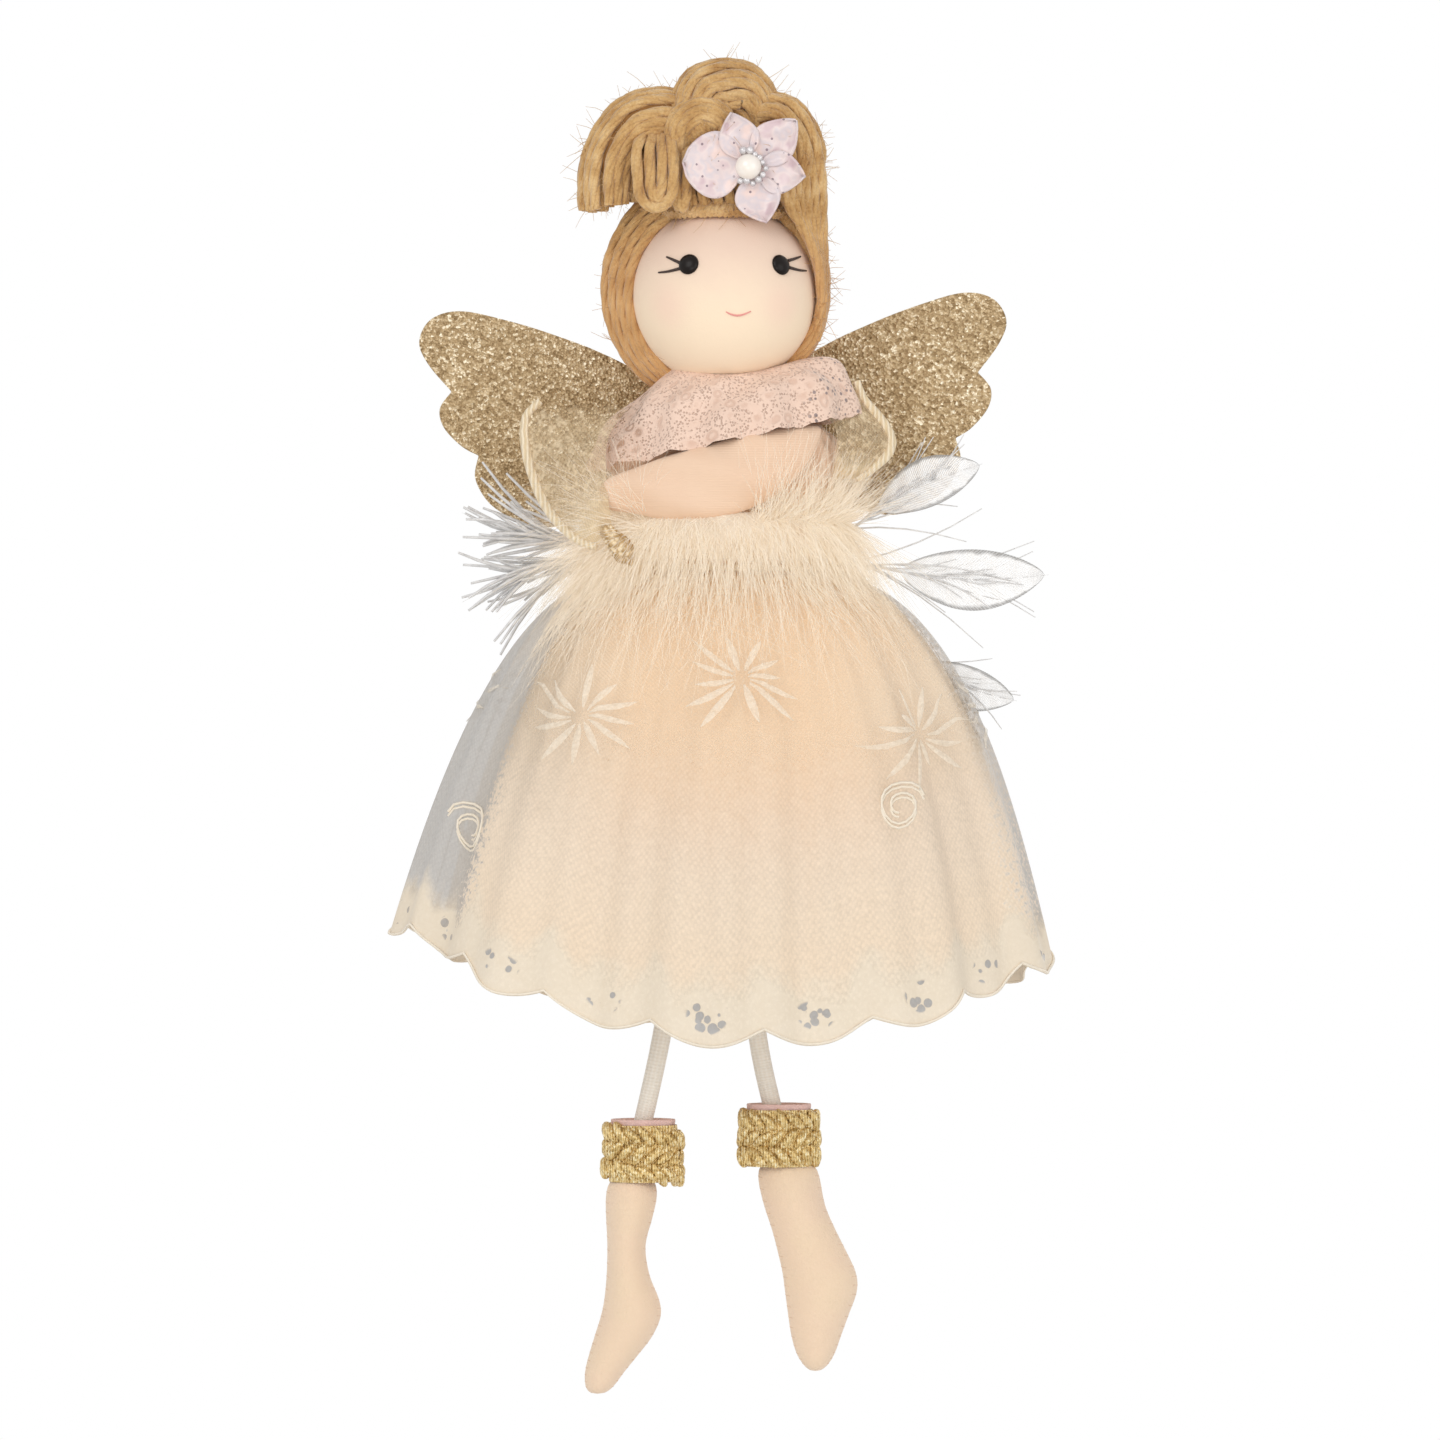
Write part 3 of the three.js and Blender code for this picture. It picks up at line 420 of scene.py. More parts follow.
def threads(name, lines, radius, sides=0, taper=None):
    """Round threads along lines of points, as one piece; taper thins each from its start to its end."""
    curve = bpy.data.curves.new(name, "CURVE")
    curve.dimensions = "3D"
    curve.bevel_depth = radius
    curve.bevel_resolution = sides
    curve.use_fill_caps = True
    for line in lines:
        spline = curve.splines.new("POLY")
        spline.points.add(len(line) - 1)
        for k, (point, spot) in enumerate(zip(spline.points, line)):
            point.co = (*spot, 1)
            point.radius = taper(k / (len(line) - 1)) if taper else 1
    piece = bpy.data.objects.new(name, curve)
    bpy.context.collection.objects.link(piece)
    pick(piece)
    bpy.ops.object.convert(target="MESH")
    bpy.ops.object.shade_smooth()
    return bpy.context.object


felt, place = new_finish("peach felt", Roughness=0.92, Sheen_Weight=0.35, Sheen_Roughness=0.6)
patches = speckle(place, 130.0)
fuzz = place.node("TexNoise", {"Vector": place, "Scale": 2200.0, "Detail": 5.0, "Roughness": 0.7})
warm = between(patches, paint(245, 211, 185), paint(243, 217, 181))
feed(
    felt,
    Base_Color=between(fuzz * 0.5, warm, paint(250, 228, 203)),
    Normal=relief(fuzz, 0.00035, 0.55),
)
thread_finish = mottled(
    "sewing thread", 3000.0, (222, 184, 152), (240, 212, 184), Roughness=0.6, Sheen_Weight=0.2
)

for side, outline in BOOT_OUTLINES.items():
    cuff_low, cuff_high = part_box(f"boot_cuff_{side}")
    ankle = Vector(((cuff_low.x + cuff_high.x) / 2, 0, cuff_high.z))

    def boot_skin(turn, share):
        left, right, depth, drop = smooth_at(outline, share)
        full = blunt(share, 16)
        lens = math.copysign(abs(math.sin(turn)) ** SEAM_PINCH, math.sin(turn))
        x = (left + right) / 2 + full * (right - left) / 2 * math.cos(turn)
        return ankle + Vector((x, BOOT_HALF_DEPTH * depth * full * lens, -drop))

    boot = stuffed(f"boot_{side}_felt", 48, 56, boot_skin)
    boot.data.materials.append(felt)
    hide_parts(f"boot_{side}")
    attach(boot, f"{side}_boot")

    stitches = []
    long = outline[-1][3] - outline[0][3]
    for k in range(int(long / STITCH_SPACING)):
        share = 0.03 + 0.94 * k * STITCH_SPACING / long
        for edge in (0, math.pi):
            loop = [boot_skin(edge + turn, share + 0.008 * turn) for turn in (-0.5, -0.25, 0, 0.25, 0.5)]
            middle = (loop[0] + loop[-1]) / 2
            sunk = STITCH_RADIUS * STITCH_SINK
            stitches.append([point - (point - middle).normalized() * sunk for point in loop])
    seam = threads(f"boot_{side}_stitches", stitches, STITCH_RADIUS)
    seam.data.materials.append(thread_finish)
    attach(seam, f"{side}_boot")

# Boot cuffs: bands of thick gold tinsel braid, three rows of plump stitches that lean to and fro, over
# a rolled edge of pink lining that closes round the end of the leg cord.
CUFF_ROWS = [-0.0021, -0.0050, -0.0079]
CUFF_STITCHES = 17
CUFF_LEAN = math.radians(48)
CUFF_LOBE = (0.0021, 0.00085, 0.00105)  # half length, and half thickness both ways
CUFF_DIP = {"left": 0.0007, "right": 0.0001}
chance = random.Random(7)
LINING_RIM = 0.0005
LINING_PROFILE = [  # share of the cuff's half width, height over its top
    (0.20, -0.0030),
    (0.24, -0.0012),
    (0.45, -0.0006),
    (0.70, 0.0002),
    (0.82, LINING_RIM),
    (0.88, LINING_RIM * 0.8),
    (0.86, -0.0006),
    (0.74, -0.0040),
    (0.70, -0.0095),
]


def cells(place, scale, output="Distance"):
    """Grains scattered over a piece: how far each point is from its grain, or the grain's colour."""
    return place.node("TexVoronoi", {"Vector": place, "Scale": scale}, output=output)


tinsel, place = new_finish("gold tinsel braid", Metallic=0.45)
flecks = cells(place, 2600.0, "Color")
spark = axis(flecks, "X")
thick = speckle(place, 420.0)
ribs = place.node(
    "TexWave", {"Vector": place, "Scale": 700.0, "Distortion": 3.0, "Detail": 1.0}, output="Fac"
)
# The tone mixes the braid's own gold with painted glints on its brightest flecks.
tone = place.node(
    "ValToRGB",
    {"Fac": spark * 0.55 + ribs * 0.25 + thick * 0.25},
    stops=[
        (0.18, paint(164, 132, 72)),
        (0.45, paint(222, 191, 126)),
        (0.68, paint(242, 217, 158)),
        (0.86, paint(255, 244, 208)),
    ],
)
feed(
    tinsel,
    Base_Color=tone,
    Roughness=0.28 + 0.3 * spark,
    Normal=relief(spark * 0.5 + ribs * 0.5, 0.0003, 0.7),
)
pink = mottled(
    "pink lining", 2400.0, (228, 186, 178), (244, 212, 204), 3.0, (0.0002, 0.5), Roughness=0.85,
    Sheen_Weight=0.2,
)

for side in ("left", "right"):
    cuff_low, cuff_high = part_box(f"boot_cuff_{side}")
    cuff_middle = Vector(((cuff_low.x + cuff_high.x) / 2, 0, cuff_high.z))
    half_width = (cuff_high.x - cuff_low.x) / 2 - CUFF_LOBE[2]
    half_depth = (cuff_high.y - cuff_low.y) / 2 - CUFF_LOBE[2]

    def cuff_ring(u, v):
        turn = u * 2 * math.pi
        swell = 1 - 0.06 * abs(2 * v - 1) ** 2
        z = -0.0004 - v * (cuff_high.z - cuff_low.z - 0.0008)
        return cuff_middle + oval(turn, half_width * swell, half_depth * swell, z)

    cuff = cloth(f"boot_cuff_{side}_braid", 48, 8, cuff_ring, closed=True)
    bpy.ops.object.mode_set(mode="EDIT")
    for row, height in enumerate(CUFF_ROWS):
        for k in range(CUFF_STITCHES):
            turn = (k + 0.5 * (row % 2)) / CUFF_STITCHES * 2 * math.pi
            lean = (CUFF_LEAN if row % 2 else -CUFF_LEAN) + chance.uniform(-0.3, 0.3)
            out = Vector((math.cos(turn) / half_width, math.sin(turn) / half_depth, 0)).normalized()
            along = math.cos(lean) * Vector((0, 0, 1)).cross(out) + math.sin(lean) * Vector((0, 0, 1))
            z = height - CUFF_DIP[side] * math.cos(turn) + chance.uniform(-0.0002, 0.0002)
            loose = chance.uniform(0.96, 1.04)
            spot = cuff_middle + oval(turn, half_width * loose, half_depth * loose, z)
            size = chance.uniform(0.88, 1.1)
            bpy.ops.mesh.primitive_uv_sphere_add(
                segments=10, ring_count=7, radius=size, location=spot, scale=CUFF_LOBE[::-1],
                rotation=along.to_track_quat("Z", "Y").to_euler(),
            )
    bpy.ops.object.mode_set(mode="OBJECT")
    bpy.ops.object.shade_smooth()
    cuff.data.materials.append(tinsel)
    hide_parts(f"boot_cuff_{side}")
    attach(cuff, f"{side}_boot")

    def lining_skin(u, v):
        share, height = smooth_at(LINING_PROFILE, v)
        turn = u * 2 * math.pi
        wrinkle = 1 + 0.02 * math.sin(7 * turn) + 0.015 * math.sin(12 * turn + 1)
        return cuff_middle + oval(turn, half_width * share * wrinkle, half_depth * share * wrinkle, height)

    lining = cloth(f"boot_lining_{side}_cloth", 40, 24, lining_skin, closed=True)
    lining.data.materials.append(pink)
    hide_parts(f"boot_lining_{side}")
    "boot_cuff_" + side
    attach(lining, f"{side}_boot")

# Skirts: a lining of peach cotton under one of sheer net, both cut wide and gathered on the waist tie,
# so they fall in the same folds. They hang longer in front and behind than at the sides.
FOLDS = 9
FOLD_DEPTH = 0.0016
FINE_FOLDS = 31
FINE_FOLD_DEPTH = 0.00055
SCALLOPS = 18
FOLD_TURN = math.radians(-3)
SKIRT_LENGTH = 0.061
FRONT_EXTRA = 0.0147
SIDE_SLOPE = 0.00285
BULGE = 0.0019
BULGE_SHIFT = 0.0009
NET = {
    "top": -0.0833, "waist": (0.0162, 0.0102), "hem": (0.0522, 0.030), "shift": 0, "shorter": 0,
    "scallop": 0.003,
}
LINING = {
    "top": -0.0836, "waist": (0.0151, 0.0091), "hem": (0.0462, 0.026), "shift": 0.003, "shorter": 0.0048,
    "scallop": 0,
}


def skirt_point(skirt, angle, flare, out=0.0):
    """A skirt's point at an angle from the front and a share of its fall, a little out if asked."""
    lobe_wave = abs(math.cos(SCALLOPS / 2 * (angle - FOLD_TURN)))
    drop = SKIRT_LENGTH + FRONT_EXTRA * math.cos(angle) ** 2 + SIDE_SLOPE * math.sin(angle)
    drop -= skirt["shorter"] + skirt["scallop"] * (1 - lobe_wave)
    fold = FOLD_DEPTH * flare * math.cos(FOLDS * (angle - FOLD_TURN))
    fine = math.cos(FINE_FOLDS * angle + 2 * math.sin(3 * angle))
    fold += FINE_FOLD_DEPTH * math.sqrt(flare) * fine + out
    half_width, half_depth = (
        waist + (hem - waist) * flare + fold for waist, hem in zip(skirt["waist"], skirt["hem"])
    )
    belly = math.sin(math.pi * flare)
    x = (half_width + BULGE * belly) * math.sin(angle) + skirt["shift"] * flare + BULGE_SHIFT * belly
    return Vector((x, -half_depth * math.cos(angle), skirt["top"] - drop * flare**2))


def step(value, start, end):
    """A smooth step of a value, from 0 at start to 1 at end."""
    inputs = {"Value": value, 1: start, 2: end}
    return value.node("MapRange", inputs, interpolation_type="SMOOTHSTEP")


underskirt = cloth(
    "underskirt_cotton", 216, 48, lambda u, v: skirt_point(LINING, u * 2 * math.pi, v), closed=True
)
lining_finish, place = new_finish("peach lining", Roughness=0.7, Sheen_Weight=0.25)
across = axis(place, "X")
height = axis(place, "Z")
drift = speckle(place, 45.0)
away = place.math("ABSOLUTE", across - 0.003) + (drift - 0.5) * 0.012
edge = step(away, 0.010, 0.036)
low = step(height + (drift - 0.5) * 0.02, -0.118, -0.148)
pale = place.math("MAXIMUM", edge, low)
threads_across = place.math("SINE", height * 9000.0)
threads_down = place.math("SINE", across * 9000.0)
weave = threads_across * threads_down * 0.5 + 0.5
ground = between(pale, paint(243, 214, 180), paint(236, 220, 198))
feed(
    lining_finish,
    Base_Color=between(weave * 0.12, ground, paint(214, 190, 160)),
    Normal=relief(weave, 0.0001, 0.25),
)
underskirt.data.materials.append(lining_finish)
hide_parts("underskirt")
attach(underskirt, "doll")

# Overskirt: fine net with an embroidered border that is cut in scallops and pierced with eyelets. The
# gathers crowd at the sides, so the net is denser there; it is also painted grey there as shade, greyer
# than over the lining in front.
BORDER = 0.078
NET_HOLE_ROWS = 95.0
NET_HOLES_ROUND = 330.0
overskirt = cloth(
    "overskirt_net", 360, 64, lambda u, v: skirt_point(NET, u * 2 * math.pi, v), closed=True
)
net_finish, place = new_finish("embroidered net", Roughness=0.75, Sheen_Weight=0.2)
uv = place.node("UVMap")
round_share = axis(uv, "X")
up = axis(uv, "Y")
noise = speckle(place, 260.0, 3.0)
grit = speckle(place, 1500.0)
lobe_x = place.math("FRACT", round_share * SCALLOPS - SCALLOPS * FOLD_TURN / (2 * math.pi) + 0.5) - 0.5
lobe_y = up / BORDER


def eyelet(x, y, wide, tall):
    """A mask of one pierced hole in each scallop."""
    from_x = (lobe_x - x) / wide
    from_y = (lobe_y - y) / tall
    return step(from_x * from_x + from_y * from_y + (noise - 0.5) * 0.9, 1.15, 0.75)


worn_edge = 0.86 + 0.10 * place.math("COSINE", lobe_x * 4 * math.pi)
border = step(lobe_y + (noise - 0.5) * 0.8, worn_edge + 0.28, worn_edge - 0.28)
pierced = place.node("TexVoronoi", {"Vector": place, "Scale": 560.0, "Randomness": 1.0})
holes = eyelet(0.0, 0.42, 0.20, 0.22) * step(pierced + (noise - 0.5) * 0.7, 0.42, 0.34)
solid = border * (1 - holes)
mesh_x = place.math("SINE", round_share * (NET_HOLES_ROUND * 2 * math.pi))
mesh_y = place.math("SINE", up * (NET_HOLE_ROWS * 2 * math.pi))
mesh = step(mesh_x * mesh_y, -0.1, 0.5)
turned = place.math("SINE", round_share * (2 * math.pi)) + (grit - 0.5) * 0.20
# Where the gathers crowd at the sides the net is denser, and it is painted grey there as shade.
crowded_and_shaded = place.math("MAXIMUM", step(turned, -0.82, -0.88), step(turned, 0.92, 1.02))
dense = step(lobe_y + (noise - 0.5) * 0.8, 6.2, 0.8) * (1 - crowded_and_shaded)
veil = 0.18 + 0.50 * crowded_and_shaded + 0.74 * dense + 0.06 * mesh + (grit - 0.5) * 0.30
cover = place.math("MAXIMUM", place.math("MAXIMUM", veil, solid * 0.97), holes * 0.5)
# Painted light: the net is painted lighter where it is half dense, against the shade of the lining behind it
# there.
thread = between(dense * (1 - dense) * 4, paint(237, 217, 192), paint(248, 230, 208))
# The eyelets are half covered and painted grey: painted shade seen through the holes.
sheer = between(holes, between(crowded_and_shaded, thread, paint(198, 194, 189)), paint(174, 171, 168))
cream = between(grit, paint(228, 213, 190), paint(238, 225, 205))
feed(
    net_finish,
    Base_Color=between(solid, sheer, cream),
    Alpha=cover,
    Normal=relief(solid * 0.6 + grit * 0.4, 0.0002, 0.5),
)
overskirt.data.materials.append(net_finish)

# Embroidery: cream thread worked on the net as starbursts of long satin stitches, small scrolls near
# the sides and a corded line along the scalloped edge.
BURSTS = [  # angle from the front, share of the fall, reach
    (-37, 0.585, 0.0098),
    (3, 0.475, 0.0090),
    (50, 0.62, 0.0096),
    (95, 0.60, 0.0090),
    (138, 0.62, 0.0096),
    (180, 0.50, 0.0090),
    (-140, 0.60, 0.0096),
    (-98, 0.58, 0.0090),
]
RAYS = 12
LEAF_HALF_WIDTH = 0.00048
LEAF_OUTLINE = [(0.16, 0.2), (0.35, 0.8), (0.6, 1.0), (0.82, 0.7), (1.0, 0.1)]  # along, wide
LEAF_RIDGE = 0.00035
LEAF_EDGE = 0.00012
SCROLLS = [(-65, 0.82), (38, 0.72), (150, 0.82), (-118, 0.82)]  # angle, share of the fall
SCROLL_STEPS = 24
SCROLL_TURN = 3.4 * math.pi
SCROLL_SIZE = 0.0036
SCROLL_SHRINK = 0.0026
SCROLL_GAP = 0.0007
HEM_STEPS = 360
EMBROIDERY_RADIUS = 0.00024


def on_net(angle, flare, across, up, out=0.0001):
    """The net's point beside a place on it, so much across and up along the cloth."""
    middle = skirt_point(NET, angle, flare)
    half_width, half_depth = NET["hem"]
    turn = across / math.hypot(half_width * flare * math.cos(angle), half_depth * flare * math.sin(angle))
    fall = up / (skirt_point(NET, angle, min(1, flare + 0.01)) - middle).length * 0.01
    return skirt_point(NET, angle + turn, flare - fall, out)


def cut_piece(name, corners, faces):
    """A piece with the given corners and faces, picked for the next operator."""
    mesh = bpy.data.meshes.new(name)
    mesh.from_pydata(corners, [], faces)
    piece = bpy.data.objects.new(name, mesh)
    bpy.context.collection.objects.link(piece)
    pick(piece)
    return piece


def joined(name, pieces):
    """Several meshes as one piece."""
    bpy.ops.object.select_all(action="DESELECT")
    for piece in pieces:
        piece.select_set(True)
    bpy.context.view_layer.objects.active = pieces[0]
    bpy.ops.object.join()
    pieces[0].name = name
    return pieces[0]


corners, leaves, stitches = [], [], []
for degrees, flare, reach in BURSTS:
    angle = math.radians(degrees)
    for k in range(RAYS):
        aim = 2 * math.pi * (k + 0.5 * chance.random()) / RAYS
        long = reach * chance.uniform(0.5, 1.05)
        first = len(corners)
        for share, wide in LEAF_OUTLINE:
            span = long * share
            for hand in (-1, 0, 1):
                turn = aim + hand * wide * LEAF_HALF_WIDTH / span
                out = LEAF_RIDGE if hand == 0 else LEAF_EDGE
                corners.append(on_net(angle, flare, span * math.cos(turn), span * math.sin(turn), out))
        for row in range(len(LEAF_OUTLINE) - 1):
            for column in (0, 1):
                corner = first + 3 * row + column
                leaves.append((corner, corner + 1, corner + 4, corner + 3))
leaf_piece = cut_piece("satin stitch", corners, leaves)
bpy.ops.object.shade_smooth()
for degrees, flare in SCROLLS:
    hand = 1 if degrees > 0 else -1
    line = []
    for k in range(SCROLL_STEPS + 1):
        aim = k / SCROLL_STEPS * SCROLL_TURN
        size = SCROLL_SIZE - SCROLL_SHRINK * k / SCROLL_STEPS
        aside, rise = hand * size * math.cos(aim), size * 1.15 * math.sin(aim)
        line.append(on_net(math.radians(degrees), flare, aside, rise))
    stitches.append(line)
    stitches.append([point - Vector((0, 0, SCROLL_GAP)) for point in line])
hem_cord = [
    skirt_point(NET, k / HEM_STEPS * 2 * math.pi, 0.998, 0.0002) for k in range(HEM_STEPS + 1)
]
stitches.append(hem_cord)
embroidery = threads("skirt_embroidery", stitches, EMBROIDERY_RADIUS)
silk = mottled(
    "embroidery thread", 2000.0, (238, 224, 202), (247, 237, 220), bumps=(0.0002, 0.5), Roughness=0.55,
    Sheen_Weight=0.3,
)
embroidery.data.materials.append(silk)
leaf_finish, place = new_finish("pale satin stitch", Roughness=0.5, Sheen_Weight=0.3)
ply = speckle(place, 1500.0)
feed(
    leaf_finish,
    Base_Color=between(ply, paint(242, 228, 206), paint(253, 244, 228)),
    Alpha=0.25 + 0.55 * ply,
)
leaf_piece.data.materials.append(leaf_finish)
embroidery = joined("skirt_embroidery", [embroidery, leaf_piece])
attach(embroidery, "doll")
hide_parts("lace_overskirt")
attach(overskirt, "doll")

# Waist tie: cream cord wound twice round the torso over the gathered tops of the skirts, which it draws
# in and holds. The feather band hides it.
TIE_TURNS = 2
TIE_STEPS = 96
TIE_RADIUS = 0.0004
TIE_RING = (0.0150, 0.0090)
tie_low, tie_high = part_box("waist_tie")
wound = []
for k in range(TIE_STEPS + 1):
    turn = k / TIE_STEPS * TIE_TURNS * 2 * math.pi
    z = tie_high.z - TIE_RADIUS - (tie_high.z - tie_low.z - 2 * TIE_RADIUS) * k / TIE_STEPS
    wound.append(oval(turn, *TIE_RING, z))
tie = threads("waist_tie_cord", [wound], TIE_RADIUS, sides=1)
tie.data.materials.append(silk)
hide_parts("waist_tie")
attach(tie, "doll")

# Feather band: a boa of soft white down wound round the waist. Its barbs stand out all round, droop
# over the gathered top of the skirts and hide the tie. They spread wide at the left and stand up over
# the bodice at the right.
BARBS = [  # how many, share round the band, share round its roll, lengths, sag, lift at the root
    (3500, (0.0, 1.0), (-0.40, 0.28), (0.005, 0.0135), (0.3, 1.0), -0.45),
    (1400, (0.0, 1.0), (-0.17, 0.08), (0.003, 0.0070), (0.4, 1.0), -0.9),
    (800, (-0.21, 0.05), (0.08, 0.30), (0.006, 0.0125), (-0.2, -0.1), 0.0),
    (200, (0.40, 0.60), (0.10, 0.30), (0.006, 0.0120), (-0.2, -0.1), 0.0),
    (850, (0.44, 0.64), (-0.20, 0.25), (0.008, 0.0165), (0.0, 0.6), 0.0),
]
BARB_RADIUS = 0.000065
BAND_RING = (0.0172, 0.0112)
BAND_FULLNESS = (0.0026, 0.0038)
band_low, band_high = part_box("feather_band")
band_z = (band_low.z + band_high.z) / 2


def band_skin(u, v, grow=0.0):
    turn, round_it = u * 2 * math.pi, v * 2 * math.pi
    out = (BAND_FULLNESS[0] + grow) * math.cos(round_it)
    z = band_z + (BAND_FULLNESS[1] + grow) * math.sin(round_it)
    return oval(turn, BAND_RING[0] + out, BAND_RING[1] + out, z)


def clear_of_skirt(point):
    """The point, pushed out to the net's surface where it would lie inside it."""
    fallen = NET["top"] - point.z
    if fallen <= 0:
        return point
    flare = math.sqrt(fallen / (SKIRT_LENGTH + FRONT_EXTRA / 2)) + 0.05
    half_width, half_depth = (w + (h - w) * flare for w, h in zip(NET["waist"], NET["hem"]))
    inside = math.hypot(point.x / half_width, point.y / half_depth)
    return Vector((point.x / inside, point.y / inside, point.z)) if inside < 1 else point


barbs = []
for count, around, roll, lengths, sags, lift in BARBS:
    for _ in range(count):
        u, v = chance.uniform(*around), chance.uniform(*roll)
        long, sag = chance.uniform(*lengths), chance.uniform(*sags)
        root = band_skin(u, v)
        away = (band_skin(u, v, 0.001) - root).normalized()
        away += Vector((chance.uniform(-0.5, 0.5), chance.uniform(-0.5, 0.5), chance.uniform(-0.5, 0.2)))
        if lift < 0:
            away.z = min(away.z, 0.2) + lift
        curl = Vector((
            chance.uniform(-0.35, 0.35), chance.uniform(-0.35, 0.35), chance.uniform(-0.2, 0.2) - sag
        ))
        barbs.append([
            clear_of_skirt(root + long * (away.normalized() * share + curl * share**2))
            for share in (0, 0.3, 0.65, 1)
        ])
core = cloth("band_core", 60, 12, band_skin, closed=True)
down = threads("band_barbs", barbs, BARB_RADIUS, taper=lambda share: 1 - 0.75 * share)
feather_band = joined("feather_band_down", [core, down])
# Painted light: the down glows faintly in cream to lift the shade among its barbs.
glowing_down_finish, place = new_finish("cream down", Roughness=0.9, Sheen_Weight=0.8, Emission_Strength=0.16)
tufts = speckle(place, 300.0, 3.0)
feed(
    glowing_down_finish,
    Base_Color=between(tufts, paint(250, 236, 214), paint(255, 250, 240)),
    Emission_Color=between(tufts, paint(240, 214, 182), paint(250, 232, 206)),
    Alpha=0.25 + 0.45 * tufts,
    Normal=relief(tufts, 0.0006, 0.5),
)
feather_band.data.materials.clear()
feather_band.data.materials.append(glowing_down_finish)
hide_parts("feather_band")
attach(feather_band, "doll")

# Side feathers: white plumes tucked into the band. Those on the right are leaf-shaped vanes on a shaft
# with grey edges and some loose barbs; those on the left are frayed to tufts of coarse barbs.
QUILL_RADIUS = 0.0003
TUFT_BARBS = 34
TUFT_BARB_RADIUS = 0.00034
WISPS = 18
WISP_RADIUS = 0.000136
FEATHERS = {  # root and tip as x, y, z; half width of the vane
    "feather_left_upper": ((-0.019, 0.002, -0.0783), (-0.0425, 0.001, -0.0733), 0.0042),
    "feather_left_lower": ((-0.019, 0.003, -0.0803), (-0.0425, 0.002, -0.0878), 0.0042),
    "feather_right_upper": ((0.019, 0.004, -0.0773), (0.042, 0.003, -0.0653), 0.0040),
    "feather_right_plume": ((0.019, 0.005, -0.0803), (0.0528, 0.004, -0.0833), 0.0050),
    "feather_right_lower": ((0.026, 0.006, -0.0943), (0.0476, 0.005, -0.1038), 0.0036),
}
# Painted light: the vanes glow faintly in their own white, dimmer at the grey edges, for light shining
# through them.
glowing_vane_finish, place = new_finish(
    "white feather vane", Roughness=0.7, Sheen_Weight=0.4, Emission_Strength=0.14
)
uv = place.node("UVMap")
across = place.math("ABSOLUTE", axis(uv, "X") * 2.0 - 1.0)
along = axis(uv, "Y")
parted = speckle(place, 500.0)
barb_lines = place.math("SINE", along * 260.0 + across * 42.0 + parted * 5.0) * 0.5 + 0.5
edge = step(across + (parted - 0.5) * 0.25, 0.80, 0.95)
white = between(barb_lines * 0.6 + parted * 0.4, paint(238, 237, 236), paint(255, 254, 253))
feed(
    glowing_vane_finish,
    Base_Color=between(edge, white, paint(168, 166, 164)),
    Emission_Color=between(edge, white, paint(80, 78, 76)),
    Alpha=0.95 - 0.35 * step(barb_lines, 0.35, 0.1),
    Normal=relief(barb_lines, 0.0002, 0.6),
)
plume_finish = mottled(
    "white barbs", 700.0, (190, 188, 187), (252, 251, 250), Roughness=0.7, Sheen_Weight=0.4
)
for name, (root, tip, half_width) in FEATHERS.items():
    root, tip = Vector(root), Vector(tip)
    aim = (tip - root).normalized()
    side = aim.cross(Vector((0, 1, 0)))
    bow = side * (tip - root).length * 0.06 * (1 if tip.z > root.z else -1)
    tuft = "left" in name

    def shaft(share):
        return root.lerp(tip, share) + bow * math.sin(math.pi * share)

    def vane_skin(u, v):
        out = (2 * u - 1) * half_width * math.sin(math.pi * min(1, 0.03 + v) ** 0.85) ** 0.75
        hollow = 0.16 * abs(out) + 0.0002 * math.sin(v * 40 + 3 * u)
        return shaft(0.30 + 0.70 * v) + side * out + aim * abs(out) * 0.35 - Vector((0, hollow, 0))

    wisps = []
    for _ in range(TUFT_BARBS if tuft else WISPS):
        share = chance.uniform(0.05, 0.62)
        turn = chance.uniform(-0.4, 0.4)
        reach = aim * math.cos(turn) + side * math.sin(turn) + Vector((0, chance.uniform(-0.25, 0.25), 0))
        long = chance.uniform(0.3, 0.85) * (tip - root).length * (1 - share) + 0.002
        curl = side * chance.uniform(-0.35, 0.35) * long
        wisps.append([shaft(share) + reach * long * t + curl * t**2 for t in (0, 0.25, 0.5, 0.75, 1)])
    radius = TUFT_BARB_RADIUS if tuft else WISP_RADIUS
    strands = [
        threads("quill", [[shaft(k / 16) for k in range(17)]], QUILL_RADIUS, 1, lambda share: 1.1 - share),
        threads("wisps", wisps, radius, taper=lambda share: 1 - 0.45 * share**2),
    ]
    for strand in strands:
        strand.data.materials.append(plume_finish)
    if not tuft:
        vane = cloth("vane", 14, 36, vane_skin)
        vane.data.materials.append(glowing_vane_finish)
        strands.append(vane)
    plume = joined(f"{name}_plume", strands)
    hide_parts(name)
    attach(plume, "doll")

# Bodice: a strip of peach satin wrapped round the chest, drawn into soft creases, with its puffed free
# end laid across the front from the right shoulder down to a rounded tip at the left.
BODICE_ROWS = [(0.0150, 0.0085, -0.0590), *[(w + 0.0011, d + 0.0011, z) for w, d, z in TORSO_ROWS[2:5]]]
WRAP_ROUTE = [  # x, y, z, half height
    (0.0156, -0.0074, -0.0598, 0.0010),
    (0.0112, -0.0097, -0.0630, 0.0038),
    (0.0050, -0.0112, -0.0664, 0.0056),
    (-0.0020, -0.0117, -0.0686, 0.0059),
    (-0.0090, -0.0111, -0.0697, 0.0051),
    (-0.0150, -0.0096, -0.0702, 0.0036),
    (-0.0202, -0.0082, -0.0709, 0.0030),
]
WRAP_FLATNESS = 0.42


